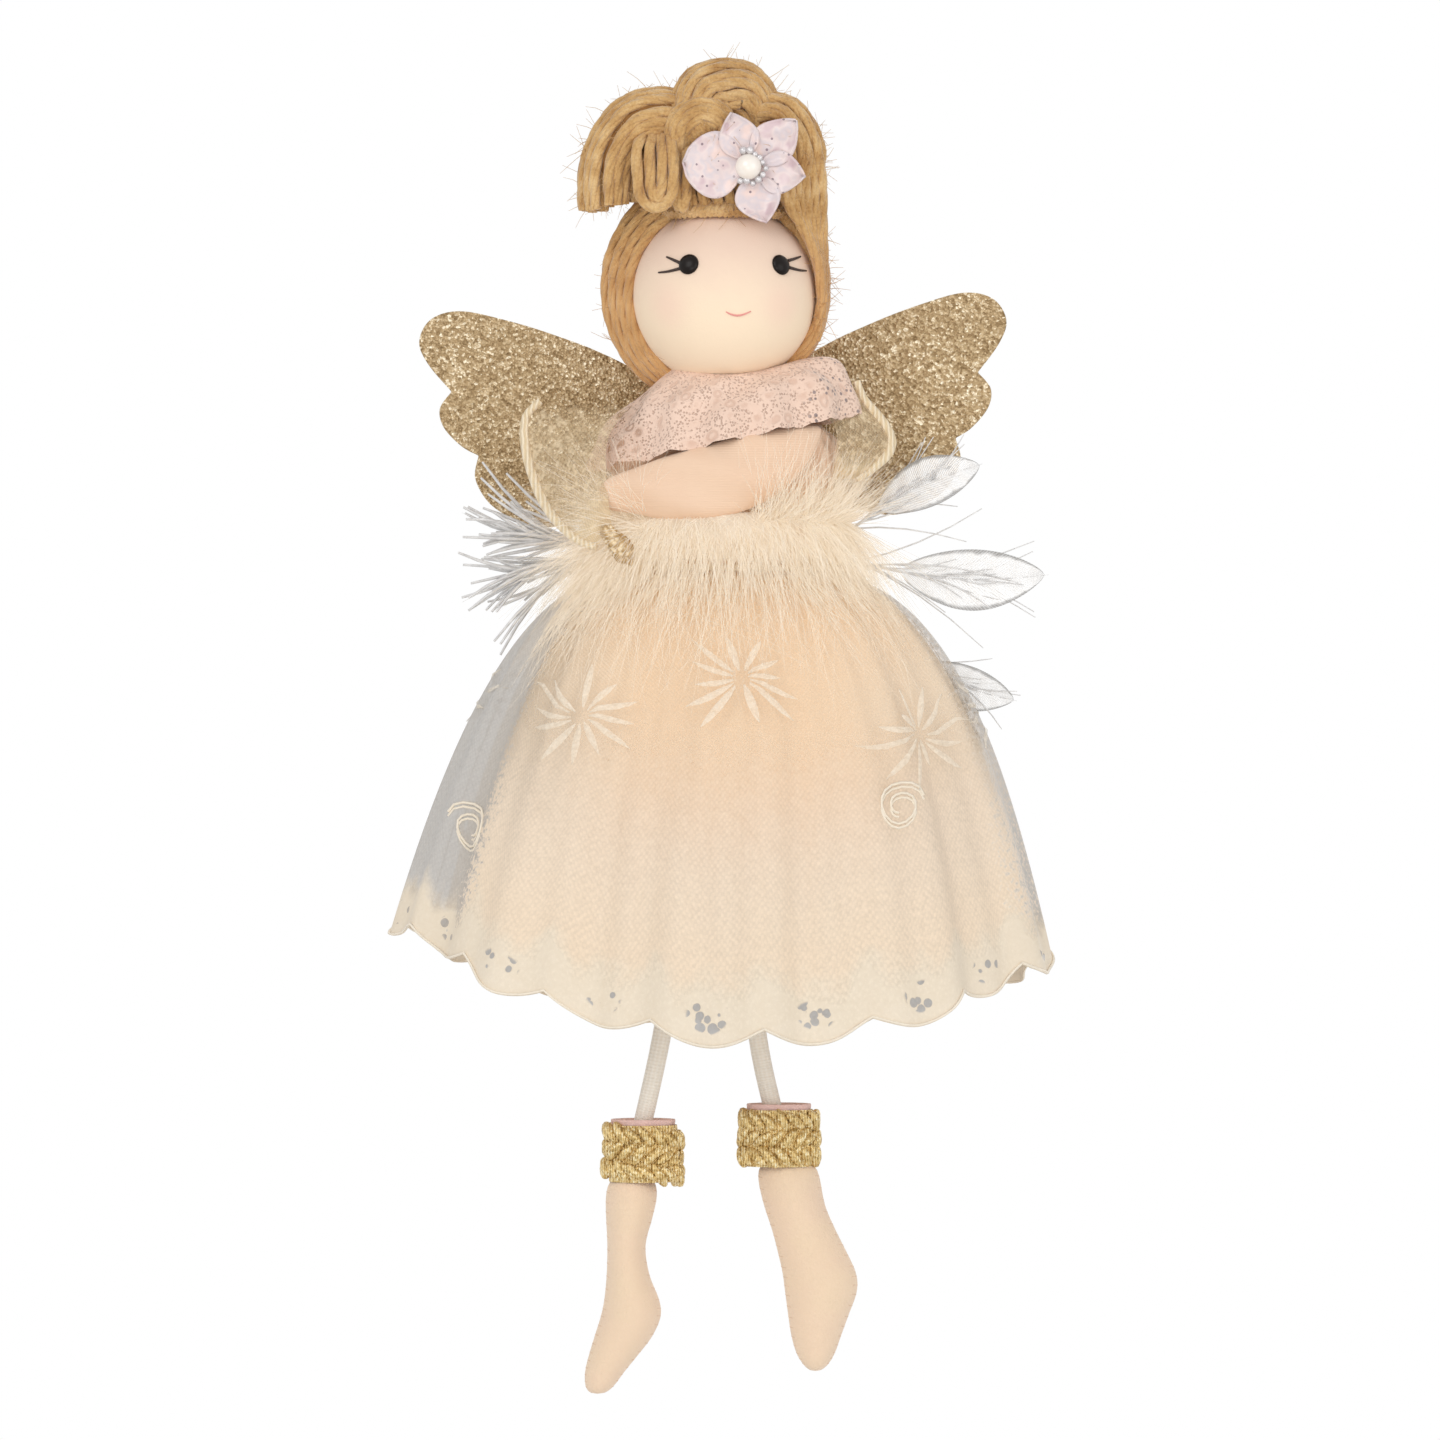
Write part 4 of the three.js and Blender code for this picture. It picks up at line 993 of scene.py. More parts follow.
def lobe_point(route, flatness, turn, along, full):
    """A point on a rounded form that follows a route of x, y, z and radius."""
    x, y, z, radius = smooth_at(route, along)
    ahead = Vector(smooth_at(route, along + 0.01)[:3]) - Vector(smooth_at(route, along - 0.01)[:3])
    aim = ahead.normalized()
    side = aim.cross(Vector((0, 1, 0))).normalized()
    back = side.cross(aim)
    out = side * math.cos(turn) + back * flatness * math.sin(turn)
    return Vector((x, y, z)) + out * radius * full


def bodice_skin(u, v):
    turn = u * 2 * math.pi
    half_width, half_depth, z = smooth_at(BODICE_ROWS, v)
    crease = 0.0003 * math.sin(9 * turn + 16 * v) + 0.0002 * math.sin(23 * turn - 9 * v)
    return Vector(((half_width + crease) * math.sin(turn), -(half_depth + crease) * math.cos(turn), z))


def wrap_skin(turn, share):
    point = lobe_point(WRAP_ROUTE, WRAP_FLATNESS, turn, share, blunt(share, 7))
    point.y -= 0.00035 * math.sin(share * 19 + 4 * math.cos(turn)) * math.sin(math.pi * share)
    return point


satin, place = new_finish("peach satin", Sheen_Weight=0.3, Coat_Roughness=0.5)
soft = speckle(place, 160.0)
weft = axis(place, "Z")
rib = place.math("SINE", weft * 16000.0) * 0.5 + 0.5
feed(
    satin,
    Base_Color=between(soft, paint(228, 191, 161), paint(238, 207, 179)),
    Roughness=0.42 + 0.2 * soft,
    Normal=relief(rib, 0.00005, 0.3),
)
bodice = cloth("bodice_satin", 120, 24, bodice_skin, closed=True)
bodice.data.materials.append(satin)
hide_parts("bodice_wrap")
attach(bodice, "doll")
wrap = stuffed("bodice_wrap_end", 40, 48, wrap_skin)
wrap.data.materials.append(satin)
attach(wrap, "doll")

# Lace collar: a ring of pink-cream lace gathered at the neck. It stands up on the right shoulder, lies
# over the bodice in ripples and hangs lower on the left.
COLLAR_NECK = (0.0082, 0.0073)
COLLAR_EDGE = (0.0218, 0.0130)
COLLAR_BACK = 0.0090
COLLAR_TOP = -0.0512
COLLAR_BOTTOM = -0.0620
COLLAR_SLOPE = 0.0046
COLLAR_STAND = 0.0036
COLLAR_RIPPLES = 13
LACE_POINTS = 40


def collar_skin(u, v):
    turn = u * 2 * math.pi
    right = math.sin(turn)
    ripple = 0.0008 * v * math.cos(COLLAR_RIPPLES * turn + 1.5 * math.sin(2 * turn))
    spread = math.sin(v * math.pi / 2) ** 0.9
    ripple += 0.0005 * math.sin(math.pi * v) * math.sin(10 * v + 3 * math.sin(3 * turn))
    edge_depth = COLLAR_BACK + (COLLAR_EDGE[1] - COLLAR_BACK) * (1 + math.cos(turn)) / 2
    half_width = COLLAR_NECK[0] + (COLLAR_EDGE[0] - COLLAR_NECK[0]) * spread + ripple
    half_depth = COLLAR_NECK[1] + (edge_depth - COLLAR_NECK[1]) * spread + ripple
    stand = COLLAR_STAND * max(0, right) ** 2 * math.sin(math.pi * min(1, v * 1.1))
    top = COLLAR_TOP + 0.0014 * right**2 * (1 - v) + stand
    bottom = COLLAR_BOTTOM + COLLAR_SLOPE * right - 0.0003 * abs(math.cos(LACE_POINTS / 2 * turn))
    z = top + (bottom - COLLAR_TOP) * v ** (1.5 + 0.6 * min(0, right)) + 0.4 * ripple
    return Vector((half_width * right, -half_depth * math.cos(turn), z))


collar = cloth("lace_collar_cloth", 300, 26, collar_skin, closed=True)
lace, place = new_finish("pink lace", Roughness=0.7, Sheen_Weight=0.3)
uv = place.node("UVMap")
across = axis(place, "X")
spread = place.node("Mapping", {"Vector": uv, "Scale": (42.0, 5.6, 1.0)})
wander = speckle(place, 420.0, 3.0)
heart = place.node("TexVoronoi", {"Vector": spread, "Scale": 1.0, "Randomness": 0.8})
petals = place.math("SINE", heart * 20.0 + wander * 12.0) * 0.5 + 0.5
pores = cells(place, 2200.0)
rose = step(heart + (wander - 0.5) * 0.4, 0.50, 0.40)
thread = rose * (petals * 0.6 + 0.4) + (1 - rose) * step(pores, 0.15, 0.45)
knots = cells(place, 1000.0)
picked = axis(cells(place, 1000.0, "Color"), "X")
dots = step(knots, 0.36, 0.26) * step(picked, 0.45, 0.50) * step(across, 0.0115, 0.0150)
sheer_end = step(across + (wander - 0.5) * 0.008, -0.0105, -0.0170)
tone = between(thread * 0.7 + wander * 0.3, paint(208, 169, 147), paint(240, 211, 192))
feed(
    lace,
    Base_Color=between(dots, tone, paint(150, 132, 128)),
    Alpha=1.0 - sheer_end * (0.3 + 0.6 * step(thread, 0.8, 0.3)),
    Normal=relief(thread, 0.0003, 0.7),
)
collar.data.materials.append(lace)
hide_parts("lace_collar")
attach(collar, "doll")

# Shoulder ruffles: a flap of sheer gauze on each side, held out by a cream cord sewn along its edge,
# through which the wings show. The left one ends in a crumpled scrap of lace.
RIM_RADIUS = 0.0008
SCRAP_SIZE = 0.0026
RUFFLES = {  # the rim and the line where the gauze is sewn on, as x, y, z
    "left": (
        [
            (-0.0298, -0.0002, -0.0553), (-0.0319, -0.0006, -0.0575), (-0.0324, -0.0010, -0.0605),
            (-0.0319, -0.0018, -0.0640), (-0.0310, -0.0032, -0.0672), (-0.0296, -0.0048, -0.0708),
            (-0.0278, -0.0072, -0.0738), (-0.0254, -0.0096, -0.0765), (-0.0228, -0.0116, -0.0784),
            (-0.0205, -0.0126, -0.0791),
        ],
        [
            (-0.0150, -0.0040, -0.0560), (-0.0185, -0.0060, -0.0610), (-0.0190, -0.0085, -0.0670),
            (-0.0180, -0.0115, -0.0760),
        ],
    ),
    "right": (
        [
            (0.0215, 0.0000, -0.0520), (0.0226, -0.0002, -0.0548), (0.0246, -0.0004, -0.0572),
            (0.0264, -0.0008, -0.0597), (0.0271, -0.0014, -0.0620), (0.0264, -0.0020, -0.0640),
            (0.0247, -0.0028, -0.0657), (0.0228, -0.0034, -0.0671), (0.0214, -0.0038, -0.0680),
        ],
        [
            (0.0150, -0.0040, -0.0560), (0.0180, -0.0050, -0.0600), (0.0180, -0.0055, -0.0640),
            (0.0175, -0.0050, -0.0680),
        ],
    ),
}


def traced(route, steps):
    """Points along the smooth line through a route."""
    return [Vector(smooth_at(route, k / steps)) for k in range(steps + 1)]


def middle_of(node):
    """The middle of a solid's box."""
    low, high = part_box(node)
    return (low + high) / 2


gauze, place = new_finish("sheer gauze", Roughness=0.7, Sheen_Weight=0.2)
uv = place.node("UVMap")
across = axis(uv, "X")
inward = axis(uv, "Y")
fleck = speckle(place, 700.0, 3.0)
lattice = place.math("SINE", across * 150.0) * place.math("SINE", inward * 110.0)
feed(
    gauze,
    Base_Color=between(fleck, paint(206, 180, 138), paint(232, 212, 180)),
    Alpha=(0.42 + 0.12 * lattice + step(fleck, 0.52, 0.64) * 0.35 + step(across, 0.65, 0.9) * 0.4)
    * step(across + (fleck - 0.5) * 0.3, 0.0, 0.25),
)
rim_finish, place = new_finish("cream rim cord", Roughness=0.7, Sheen_Weight=0.3)
ply = place.node(
    "TexWave", {"Vector": place, "Scale": 420.0, "Distortion": 4.0, "Detail": 2.0}, output="Fac"
)
feed(
    rim_finish,
    Base_Color=between(ply, paint(224, 200, 160), paint(246, 230, 202)),
    Normal=relief(ply, 0.0003, 0.6),
)
for side, (rim, sewn) in RUFFLES.items():
    rim_line = traced(rim, 48)

    def gauze_skin(u, v):
        point = Vector(smooth_at(rim, u)).lerp(Vector(smooth_at(sewn, u)), v)
        point.y -= 0.0009 * math.sin(u * 17) * math.sin(math.pi * v) + 0.0012 * math.sin(math.pi * v)
        return point

    ruffle = cloth(f"sleeve_{side}_gauze", 48, 20, gauze_skin)
    ruffle.data.materials.append(gauze)
    cord = threads(
        f"sleeve_rim_{side}_cord", [rim_line], RIM_RADIUS, 3,
        lambda share: 0.75 + 0.25 * math.sin(math.pi * share),
    )
    cord.data.materials.append(rim_finish)
    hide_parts(f"sleeve_rim_{side}")
    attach(cord, "doll")
    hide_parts(f"sleeve_{side}")
    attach(ruffle, "doll")

scrap_middle = middle_of("sleeve_cuff_left")


def scrap_skin(turn, share):
    polar = math.pi * share
    crumple = 0.16 * math.sin(5 * turn) * math.sin(polar)
    size = SCRAP_SIZE * (1 + crumple + 0.12 * math.cos(4 * polar + turn))
    out = oval(turn, 0.75 * math.sin(polar), 0.4 * math.sin(polar), 1.15 * math.cos(polar))
    out.x -= 0.5 * out.z
    return scrap_middle + out * size


scrap = stuffed("sleeve_cuff_left_lace", 32, 24, scrap_skin)
glint, place = new_finish("gold lace scrap", Roughness=0.5, Metallic=0.25)
knots = cells(place, 1300.0)
feed(
    glint,
    Base_Color=between(step(knots, 0.2, 0.6), paint(244, 224, 188), paint(190, 158, 112)),
    Normal=relief(knots, 0.0005, 0.8),
)
scrap.data.materials.append(glint)
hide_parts("sleeve_cuff_left")
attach(scrap, "doll")

# Wings: one panel of stiff card cut as a pair of wings with three round lobes a side, covered back and
# front with coarse gold glitter, and stuck to the back of the collar.
WING_HALF_SPAN = 0.048
WING_PLACE = Vector((-0.002, 0, -0.0386))
WING_TILT = math.radians(-2.1)
WING_OUTLINE = [  # out from the middle and up from the tips, in half spans; three lobes
    [
        (0.0, -0.375), (0.344, -0.179), (0.542, -0.092), (0.708, -0.035), (0.858, 0.0), (0.958, -0.025),
        (1.0, -0.1), (0.971, -0.179), (0.896, -0.273),
    ],
    [(0.896, -0.273), (0.938, -0.329), (0.927, -0.394), (0.869, -0.46), (0.812, -0.494)],
    [
        (0.812, -0.494), (0.827, -0.567), (0.792, -0.644), (0.733, -0.696), (0.646, -0.738), (0.542, -0.742),
        (0.36, -0.69), (0.16, -0.668), (0.0, -0.667),
    ],
]
wing_low, wing_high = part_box("wing_panel")
half_outline = []
for lobe in WING_OUTLINE:
    half_outline += [smooth_at(lobe, k / (6 * len(lobe))) for k in range(6 * len(lobe))]
right_side = half_outline + [WING_OUTLINE[2][-1]]
left_side = [(-x, z) for x, z in reversed(half_outline[1:])]
corners = []
for x, z in right_side + left_side:
    x, z = x * WING_HALF_SPAN, z * WING_HALF_SPAN
    corners.append(WING_PLACE + Vector((
        x * math.cos(WING_TILT) + z * math.sin(WING_TILT), wing_low.y,
        z * math.cos(WING_TILT) - x * math.sin(WING_TILT),
    )))
wings = cut_piece("wing_panel_card", corners, [range(len(corners))])
bpy.ops.object.mode_set(mode="EDIT")
bpy.ops.mesh.select_all(action="SELECT")
bpy.ops.mesh.extrude_region_move(TRANSFORM_OT_translate={"value": (0, wing_high.y - wing_low.y, 0)})
bpy.ops.mesh.select_all(action="SELECT")
bpy.ops.mesh.normals_make_consistent(inside=False)
bpy.ops.object.mode_set(mode="OBJECT")
bevel = wings.modifiers.new("rounded edge", "BEVEL")
bevel.width = 0.0002
bevel.segments = 2
bpy.ops.object.modifier_apply(modifier=bevel.name)

glitter, place = new_finish("gold glitter", Metallic=0.35, Coat_Roughness=0.2)
grains = cells(place, 2100.0, "Color")
domes = cells(place, 2100.0)
fine_grains = cells(place, 4200.0, "Color")
tone = axis(grains, "X")
tilt = axis(grains, "Y")
fine_tone = axis(fine_grains, "X")
worn = speckle(place, 120.0, 3.0)
# The grains' tones are the glitter's gold, with painted glints at the bright end and painted shade at the
# dark end, for flakes that catch or miss the light.
gold = place.node(
    "ValToRGB",
    {"Fac": tone * 0.55 + fine_tone * 0.30 + worn * 0.25},
    stops=[
        (0.20, paint(132, 106, 68)),
        (0.42, paint(168, 140, 100)),
        (0.60, paint(188, 162, 122)),
        (0.76, paint(208, 184, 146)),
        (0.90, paint(255, 242, 214)),
    ],
)
feed(
    glitter,
    Base_Color=gold,
    Roughness=0.25 + 0.45 * tilt,
    Normal=relief(domes * 0.6 + tilt * 0.4, 0.0005, 0.8),
)
wings.data.materials.append(glitter)
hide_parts("wing_panel")
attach(wings, "doll")

# Head: a round ball covered with one piece of skin-coloured jersey, faintly blushed on the cheeks. The
# upper face is painted darker and pinker as shade under the hair, and the lower face lighter and warmer
# as painted light against the shade under the chin.
HEAD = Vector((0, 0, -0.038))
HEAD_RADIUS = 0.015
CHEEKS = [(-0.0088, -0.0112, -0.0404), (0.0088, -0.0112, -0.0404)]


def ball(name, middle, radius, segments, rings):
    """A smooth ball."""

    def skin(turn, share):
        across = math.sin(math.pi * share)
        return middle + radius * oval(turn, across, across, math.cos(math.pi * share))

    return stuffed(name, segments, rings, skin)


head = ball("head_jersey", HEAD, HEAD_RADIUS, 72, 48)
jersey, place = new_finish("skin jersey", Roughness=0.72, Sheen_Weight=0.2)
height = axis(place, "Z")
mottle = speckle(place, 260.0, 3.0)
knit = speckle(place, 3200.0)
# Painted shade and light: darker and pinker above, under the hair; lighter and warmer below, under the chin.
low = step(height + (mottle - 0.5) * 0.004, -0.0280, -0.0440)
skin = between(low, paint(235, 206, 186), paint(248, 226, 198))
for cheek in CHEEKS:
    from_cheek = place.node("VectorMath", {0: place, 1: cheek}, output="Value", operation="DISTANCE")
    blush = step(from_cheek + (mottle - 0.5) * 0.002, 0.0055, 0.0005) * 0.30
    skin = between(blush, skin, paint(242, 196, 182))
feed(jersey, Base_Color=skin, Normal=relief(knit, 0.00012, 0.35))
head.data.materials.append(jersey)
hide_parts("head_skin")
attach(head, "doll")

# Face: two shining domed bead eyes, two brown lashes at the outside of each, and a small smile of pink
# thread, all worked on the jersey.
EYE_RADIUS = 0.0017
EYE_DOME = 0.0009
EYE_BACK = 0.0004
THREAD_LIFT = 0.00006
SMILE = [(0.0003, -0.0415), (0.0011, -0.0419), (0.0021, -0.0421), (0.0032, -0.0419), (0.0043, -0.0414)]
LASHES = [  # two for each eye, as x and z
    [(-0.0070, -0.0336), (-0.0084, -0.0329), (-0.0092, -0.0325)],
    [(-0.0070, -0.0345), (-0.0089, -0.0349), (-0.0105, -0.0350)],
    [(0.0102, -0.0331), (0.0115, -0.0326), (0.0123, -0.0322)],
    [(0.0104, -0.0342), (0.0120, -0.0345), (0.0132, -0.0345)],
]


def on_face(x, z, out):
    """The point of the face at x and z, a little out from the cloth."""
    y = -math.sqrt(max(0.0, HEAD_RADIUS**2 - (x - HEAD.x) ** 2 - (z - HEAD.z) ** 2))
    return HEAD + (Vector((x, y, z)) - HEAD).normalized() * (HEAD_RADIUS + out)


def lash_taper(share):
    return 1.15 - 0.6 * share


def smile_taper(share):
    return 0.6 + 0.5 * math.sin(math.pi * share)


FEATURES = {  # lines, radius and taper of the thread, dark and light colour
    "lashes": (LASHES, 0.00026, lash_taper, (46, 34, 30), (70, 52, 44)),
    "smile": ([SMILE], 0.00016, smile_taper, (222, 138, 132), (238, 168, 158)),
}
for name, (lines, radius, taper, dark, light) in FEATURES.items():
    drawn = [[on_face(*smooth_at(line, k / 8), THREAD_LIFT) for k in range(9)] for line in lines]
    mark = threads(name, drawn, radius, 1, taper)
    mark.data.materials.append(mottled(f"{name} thread", 3000.0, dark, light, Roughness=0.7))
    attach(mark, "doll")

bead_finish = mottled("black bead", 900.0, (9, 5, 3), (24, 13, 7), Roughness=0.3, Specular_IOR_Level=0.2)
for side in ("left", "right"):
    out = (middle_of(f"eye_{side}") - HEAD).normalized()
    across = out.cross(Vector((0, 0, 1))).normalized()
    upward = across.cross(out)

    def eye_skin(turn, share):
        polar = math.pi * share
        flat = EYE_DOME if share < 0.5 else EYE_BACK
        around = across * math.cos(turn) + upward * math.sin(turn)
        return HEAD + out * (HEAD_RADIUS + flat * math.cos(polar)) + around * EYE_RADIUS * math.sin(polar)

    eye = stuffed(f"eye_{side}_bead", 32, 20, eye_skin)
    eye.data.materials.append(bead_finish)
    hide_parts(f"eye_{side}")
    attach(eye, "doll")

# Hair: soft golden yarn glued to the head. A cap covers the crown and the back, and a bun is twisted up
# in the middle. The left lock is cut and droops, with loops on the brow; the right one runs on into
# the strands that fall beside the face.
YARN_RADIUS = 0.00098
YARN_PITCH = 0.0160
YARN_STEP = 0.0012
PLIES = 4
PLY_OFFSET = 0.44
PLY_SIZE = 0.58
FIBRES = (150, 7)  # so many fibres on so many strands
FEWEST_FIBRES = 16
FIBRE_RADIUS = 0.00006
FIBRE_LENGTHS = (0.0016, 0.0036)
FIBRE_BEND = 0.8
CAP_STRANDS = 64
HAIRLINE_TURN = math.radians(40)
FACE_HALF_TURN = math.radians(80)
NAPE_TURN = math.radians(131)
CROWN_STRANDS = 26
CROWN = [  # the bun's base on the head
    (-0.001, -0.001, -0.026, 0.0104), (-0.0005, -0.0012, -0.016, 0.0088), (0.0, -0.001, -0.0075, 0.0062),
]
LOCKS = {  # route as x, y, z, radius; depth to width; strands; turn along the lock; end cut or not
    "hair_lock_top": (
        [
            (-0.0016, -0.0068, -0.0150, 0.0028), (-0.0044, -0.0072, -0.0108, 0.0038),
            (-0.0028, -0.0050, -0.0066, 0.0056), (0.0020, -0.0032, -0.0060, 0.0058),
            (0.0046, -0.0034, -0.0092, 0.0048), (0.0046, -0.0040, -0.0140, 0.0036),
        ],
        0.95, 17, 1.7, False,
    ),
    "hair_lock_left": (
        [
            (-0.0020, -0.0030, -0.0118, 0.0040), (-0.0080, -0.0038, -0.0100, 0.0050),
            (-0.0140, -0.0038, -0.0110, 0.0054), (-0.0180, -0.0034, -0.0170, 0.0052),
            (-0.0186, -0.0030, -0.0250, 0.0049),
        ],
        1.15, 16, 0.35, True,
    ),
    "hair_lock_right": (
        [
            (0.0030, -0.0030, -0.0110, 0.0036), (0.0085, -0.0038, -0.0098, 0.0042),
            (0.0122, -0.0042, -0.0144, 0.0038), (0.0124, -0.0036, -0.0190, 0.0032),
            (0.0118, -0.0026, -0.0240, 0.0024),
        ],
        1.2, 13, -0.35, True,
    ),
}
COIL_STRANDS = 9
COIL = [  # a small turn of yarn in front of the bun
    (-0.0072, -0.0078, -0.0152, 0.0021), (-0.0070, -0.0088, -0.0112, 0.0025),
    (-0.0036, -0.0092, -0.0090, 0.0026), (-0.0002, -0.0088, -0.0108, 0.0023),
    (-0.0004, -0.0082, -0.0140, 0.0020),
]
BROW_LOOPS = [  # x, half width, y, lowest z
    (-0.0110, 0.0029, -0.0112, -0.0247), (-0.0109, 0.0010, -0.0110, -0.0234),
    (-0.0069, 0.0009, -0.0094, -0.0246),
]
BROW_BACK = [
    (-0.0098, -0.0052, -0.0120, 0.0030), (-0.0102, -0.0062, -0.0180, 0.0044),
    (-0.0098, -0.0062, -0.0240, 0.0030),
]
CORES = {"hair_lock_top": [CROWN], "hair_lock_left": [BROW_BACK], "hair_lock_right": []}
SIDE_ANGLES = [0.98, 0.72, 0.45, 0.2, -0.1, -0.4, -0.7, -1.0]
SIDE_STRANDS = {  # how far out from the head, and y
    "left": [
        (-0.0002, -0.0040), (0.0014, -0.0034), (0.0030, -0.0026), (0.0045, -0.0012),
        (0.0007, -0.0018), (0.0022, -0.0010), (0.0040, 0.0004),
    ],
    "right": [(0.0000, -0.0036), (0.0010, -0.0020)],
}
FALLING = [  # strands from the right lock into the side hair, x and z
    [
        (0.0150, -0.0150), (0.0157, -0.0200), (0.0158, -0.0260), (0.0160, -0.0320), (0.0163, -0.0385),
        (0.0148, -0.0455),
    ],
    [
        (0.0136, -0.0150), (0.0144, -0.0205), (0.0148, -0.0255), (0.0155, -0.0310), (0.0162, -0.0370),
        (0.0152, -0.0440),
    ],
    [
        (0.0120, -0.0140), (0.0131, -0.0205), (0.0137, -0.0250), (0.0149, -0.0300), (0.0160, -0.0360),
        (0.0152, -0.0430),
    ],
    [
        (0.0106, -0.0140), (0.0117, -0.0200), (0.0126, -0.0245), (0.0142, -0.0290), (0.0158, -0.0345),
        (0.0157, -0.0420),
    ],
    [
        (0.0092, -0.0150), (0.0104, -0.0200), (0.0115, -0.0240), (0.0134, -0.0280), (0.0154, -0.0330),
        (0.0159, -0.0400),
    ],
    [
        (0.0080, -0.0160), (0.0090, -0.0205), (0.0104, -0.0239), (0.0126, -0.0274), (0.0150, -0.0325),
        (0.0160, -0.0395),
    ],
]


def plied(line):
    """The plies of a yarn that follows a line of points."""
    lengths = [0.0]
    for a, b in zip(line, line[1:]):
        lengths.append(lengths[-1] + (b - a).length)
    count = max(20, int(lengths[-1] / YARN_STEP))
    side = None
    plies = [[] for _ in range(PLIES)]
    begin = chance.uniform(0, 2 * math.pi)
    for k in range(count + 1):
        spot = k / count * (len(line) - 1)
        first = min(int(spot), len(line) - 2)
        middle = line[first].lerp(line[first + 1], spot - first)
        aim = (line[first + 1] - line[first]).normalized()
        side = side or aim.orthogonal()
        side = (side - aim * aim.dot(side)).normalized()
        turn = begin + lengths[-1] * k / count / YARN_PITCH * 2 * math.pi
        for n, ply in enumerate(plies):
            around = turn + 2 * math.pi * n / PLIES
            out = side * math.cos(around) + aim.cross(side) * math.sin(around)
            ply.append(middle + YARN_RADIUS * PLY_OFFSET * out)
    return plies


def yarn_taper(share):
    return min(1, 0.72 + 3 * share, 0.72 + 3 * (1 - share))


def yarn(name, lines):
    """A bundle of soft yarn along lines of points, with loose fibres on it and standing off it."""
    plies = [ply for line in lines for ply in plied(line)]
    bundle = threads(name, plies, YARN_RADIUS * PLY_SIZE, 1, yarn_taper)
    fibres = []
    for _ in range(max(FEWEST_FIBRES, FIBRES[0] * len(lines) // FIBRES[1])):
        line = chance.choice(lines)
        spot = chance.randrange(len(line) - 1)
        along = (line[spot + 1] - line[spot]).normalized()
        stray = Vector((chance.uniform(-1, 1), chance.uniform(-1, 1), chance.uniform(-1, 1)))
        aim = (stray.normalized() + along * chance.uniform(-0.8, 0.8)).normalized()
        bend = Vector((chance.uniform(-1, 1), chance.uniform(-1, 1), chance.uniform(-1, 1)))
        long = chance.uniform(*FIBRE_LENGTHS)
        fibres.append([
            line[spot] + aim * long * t + bend * long * FIBRE_BEND * t**2 for t in (0, 0.33, 0.67, 1)
        ])
    fuzz = threads("fuzz", fibres, FIBRE_RADIUS, taper=lambda share: 1 - 0.6 * share)
    return joined(name, [bundle, fuzz])


hair_finish, place = new_finish("golden yarn", Roughness=0.8, Sheen_Weight=0.4)
height = axis(place, "Z")
shade = speckle(place, 260.0, 3.0)
fibre = speckle(place, 2600.0, 4.0)
tone = place.node(
    "ValToRGB",
    {"Fac": shade * 0.65 + fibre * 0.35},
    stops=[(0.32, paint(174, 127, 70)), (0.50, paint(204, 162, 103)), (0.70, paint(228, 193, 139))],
)
amber = step(height, -0.025, -0.036)
feed(
    hair_finish,
    Base_Color=between(amber * 0.7, tone, between(shade, paint(184, 132, 76), paint(222, 172, 116))),
    Normal=relief(fibre, 0.0003, 0.7),
)
core_finish = mottled("yarn in shade", 800.0, (132, 90, 46), (170, 124, 70), Roughness=0.9)

for name, (route, flatness, count, twist, cut) in LOCKS.items():
    lines = []
    layers = [(count, 0.86), (count * 3 // 4, 0.55), (count // 3, 0.2)] if cut else [(count, 0.86)]
    for number, reach in layers:
        for i in range(number):
            begin = 2 * math.pi * (i + chance.uniform(-0.25, 0.25)) / number
            last = 0.955 - 0.035 * math.cos(begin + twist) + chance.uniform(-0.02, 0.01)
            line = []
            for k in range(27):
                share = 0.02 + (last - 0.02) * k / 26
                full = min(1, (share / 0.2) ** 0.5) if cut else blunt(share, 4)
                line.append(lobe_point(route, flatness, begin + twist * share, share, reach * full))
            lines.append(line)
    if name == "hair_lock_left":
        for x, half_width, y, low in BROW_LOOPS:
            loop = [
                (x * 0.96 - half_width * 0.4, y + 0.0042, -0.0118), (x - half_width, y + 0.0008, -0.0145),
                (x - half_width, y, -0.0195), (x - half_width * 0.8, y, low + 0.0016), (x, y, low),
                (x + half_width * 0.8, y, low + 0.0016), (x + half_width, y, -0.0195),
                (x + half_width * 0.9, y + 0.0008, -0.0145),
                (x * 0.96 + half_width * 0.3, y + 0.0042, -0.0118),
            ]
            lines.append(traced(loop, 40))
    if name == "hair_lock_top":
        for i in range(CROWN_STRANDS):
            begin = 2 * math.pi * i / CROWN_STRANDS
            lines.append([
                lobe_point(CROWN, 0.9, begin + 0.8 * k / 16, k / 16, 0.92 * blunt(0.04 + 0.92 * k / 16, 5))
                for k in range(17)
            ])
        for i in range(COIL_STRANDS):
            begin = 2 * math.pi * i / COIL_STRANDS
            lines.append([
                lobe_point(COIL, 0.9, begin + 1.4 * k / 20, k / 20, 0.7 * blunt(0.02 + 0.96 * k / 20, 8))
                for k in range(21)
            ])
    lock = yarn(f"{name}_yarn", lines)
    lock.data.materials.append(hair_finish)
    parts = [lock]
    for form in [route, *CORES[name]]:
        inside = stuffed(
            "core", 24, 20,
            lambda turn, share: lobe_point(form, flatness, turn, 0.88 * share, 0.8 * blunt(share, 8)),
        )
        inside.data.materials.append(core_finish)
        parts.append(inside)
    lock = joined(f"{name}_yarn", parts)
    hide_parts(name)
    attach(lock, "doll")

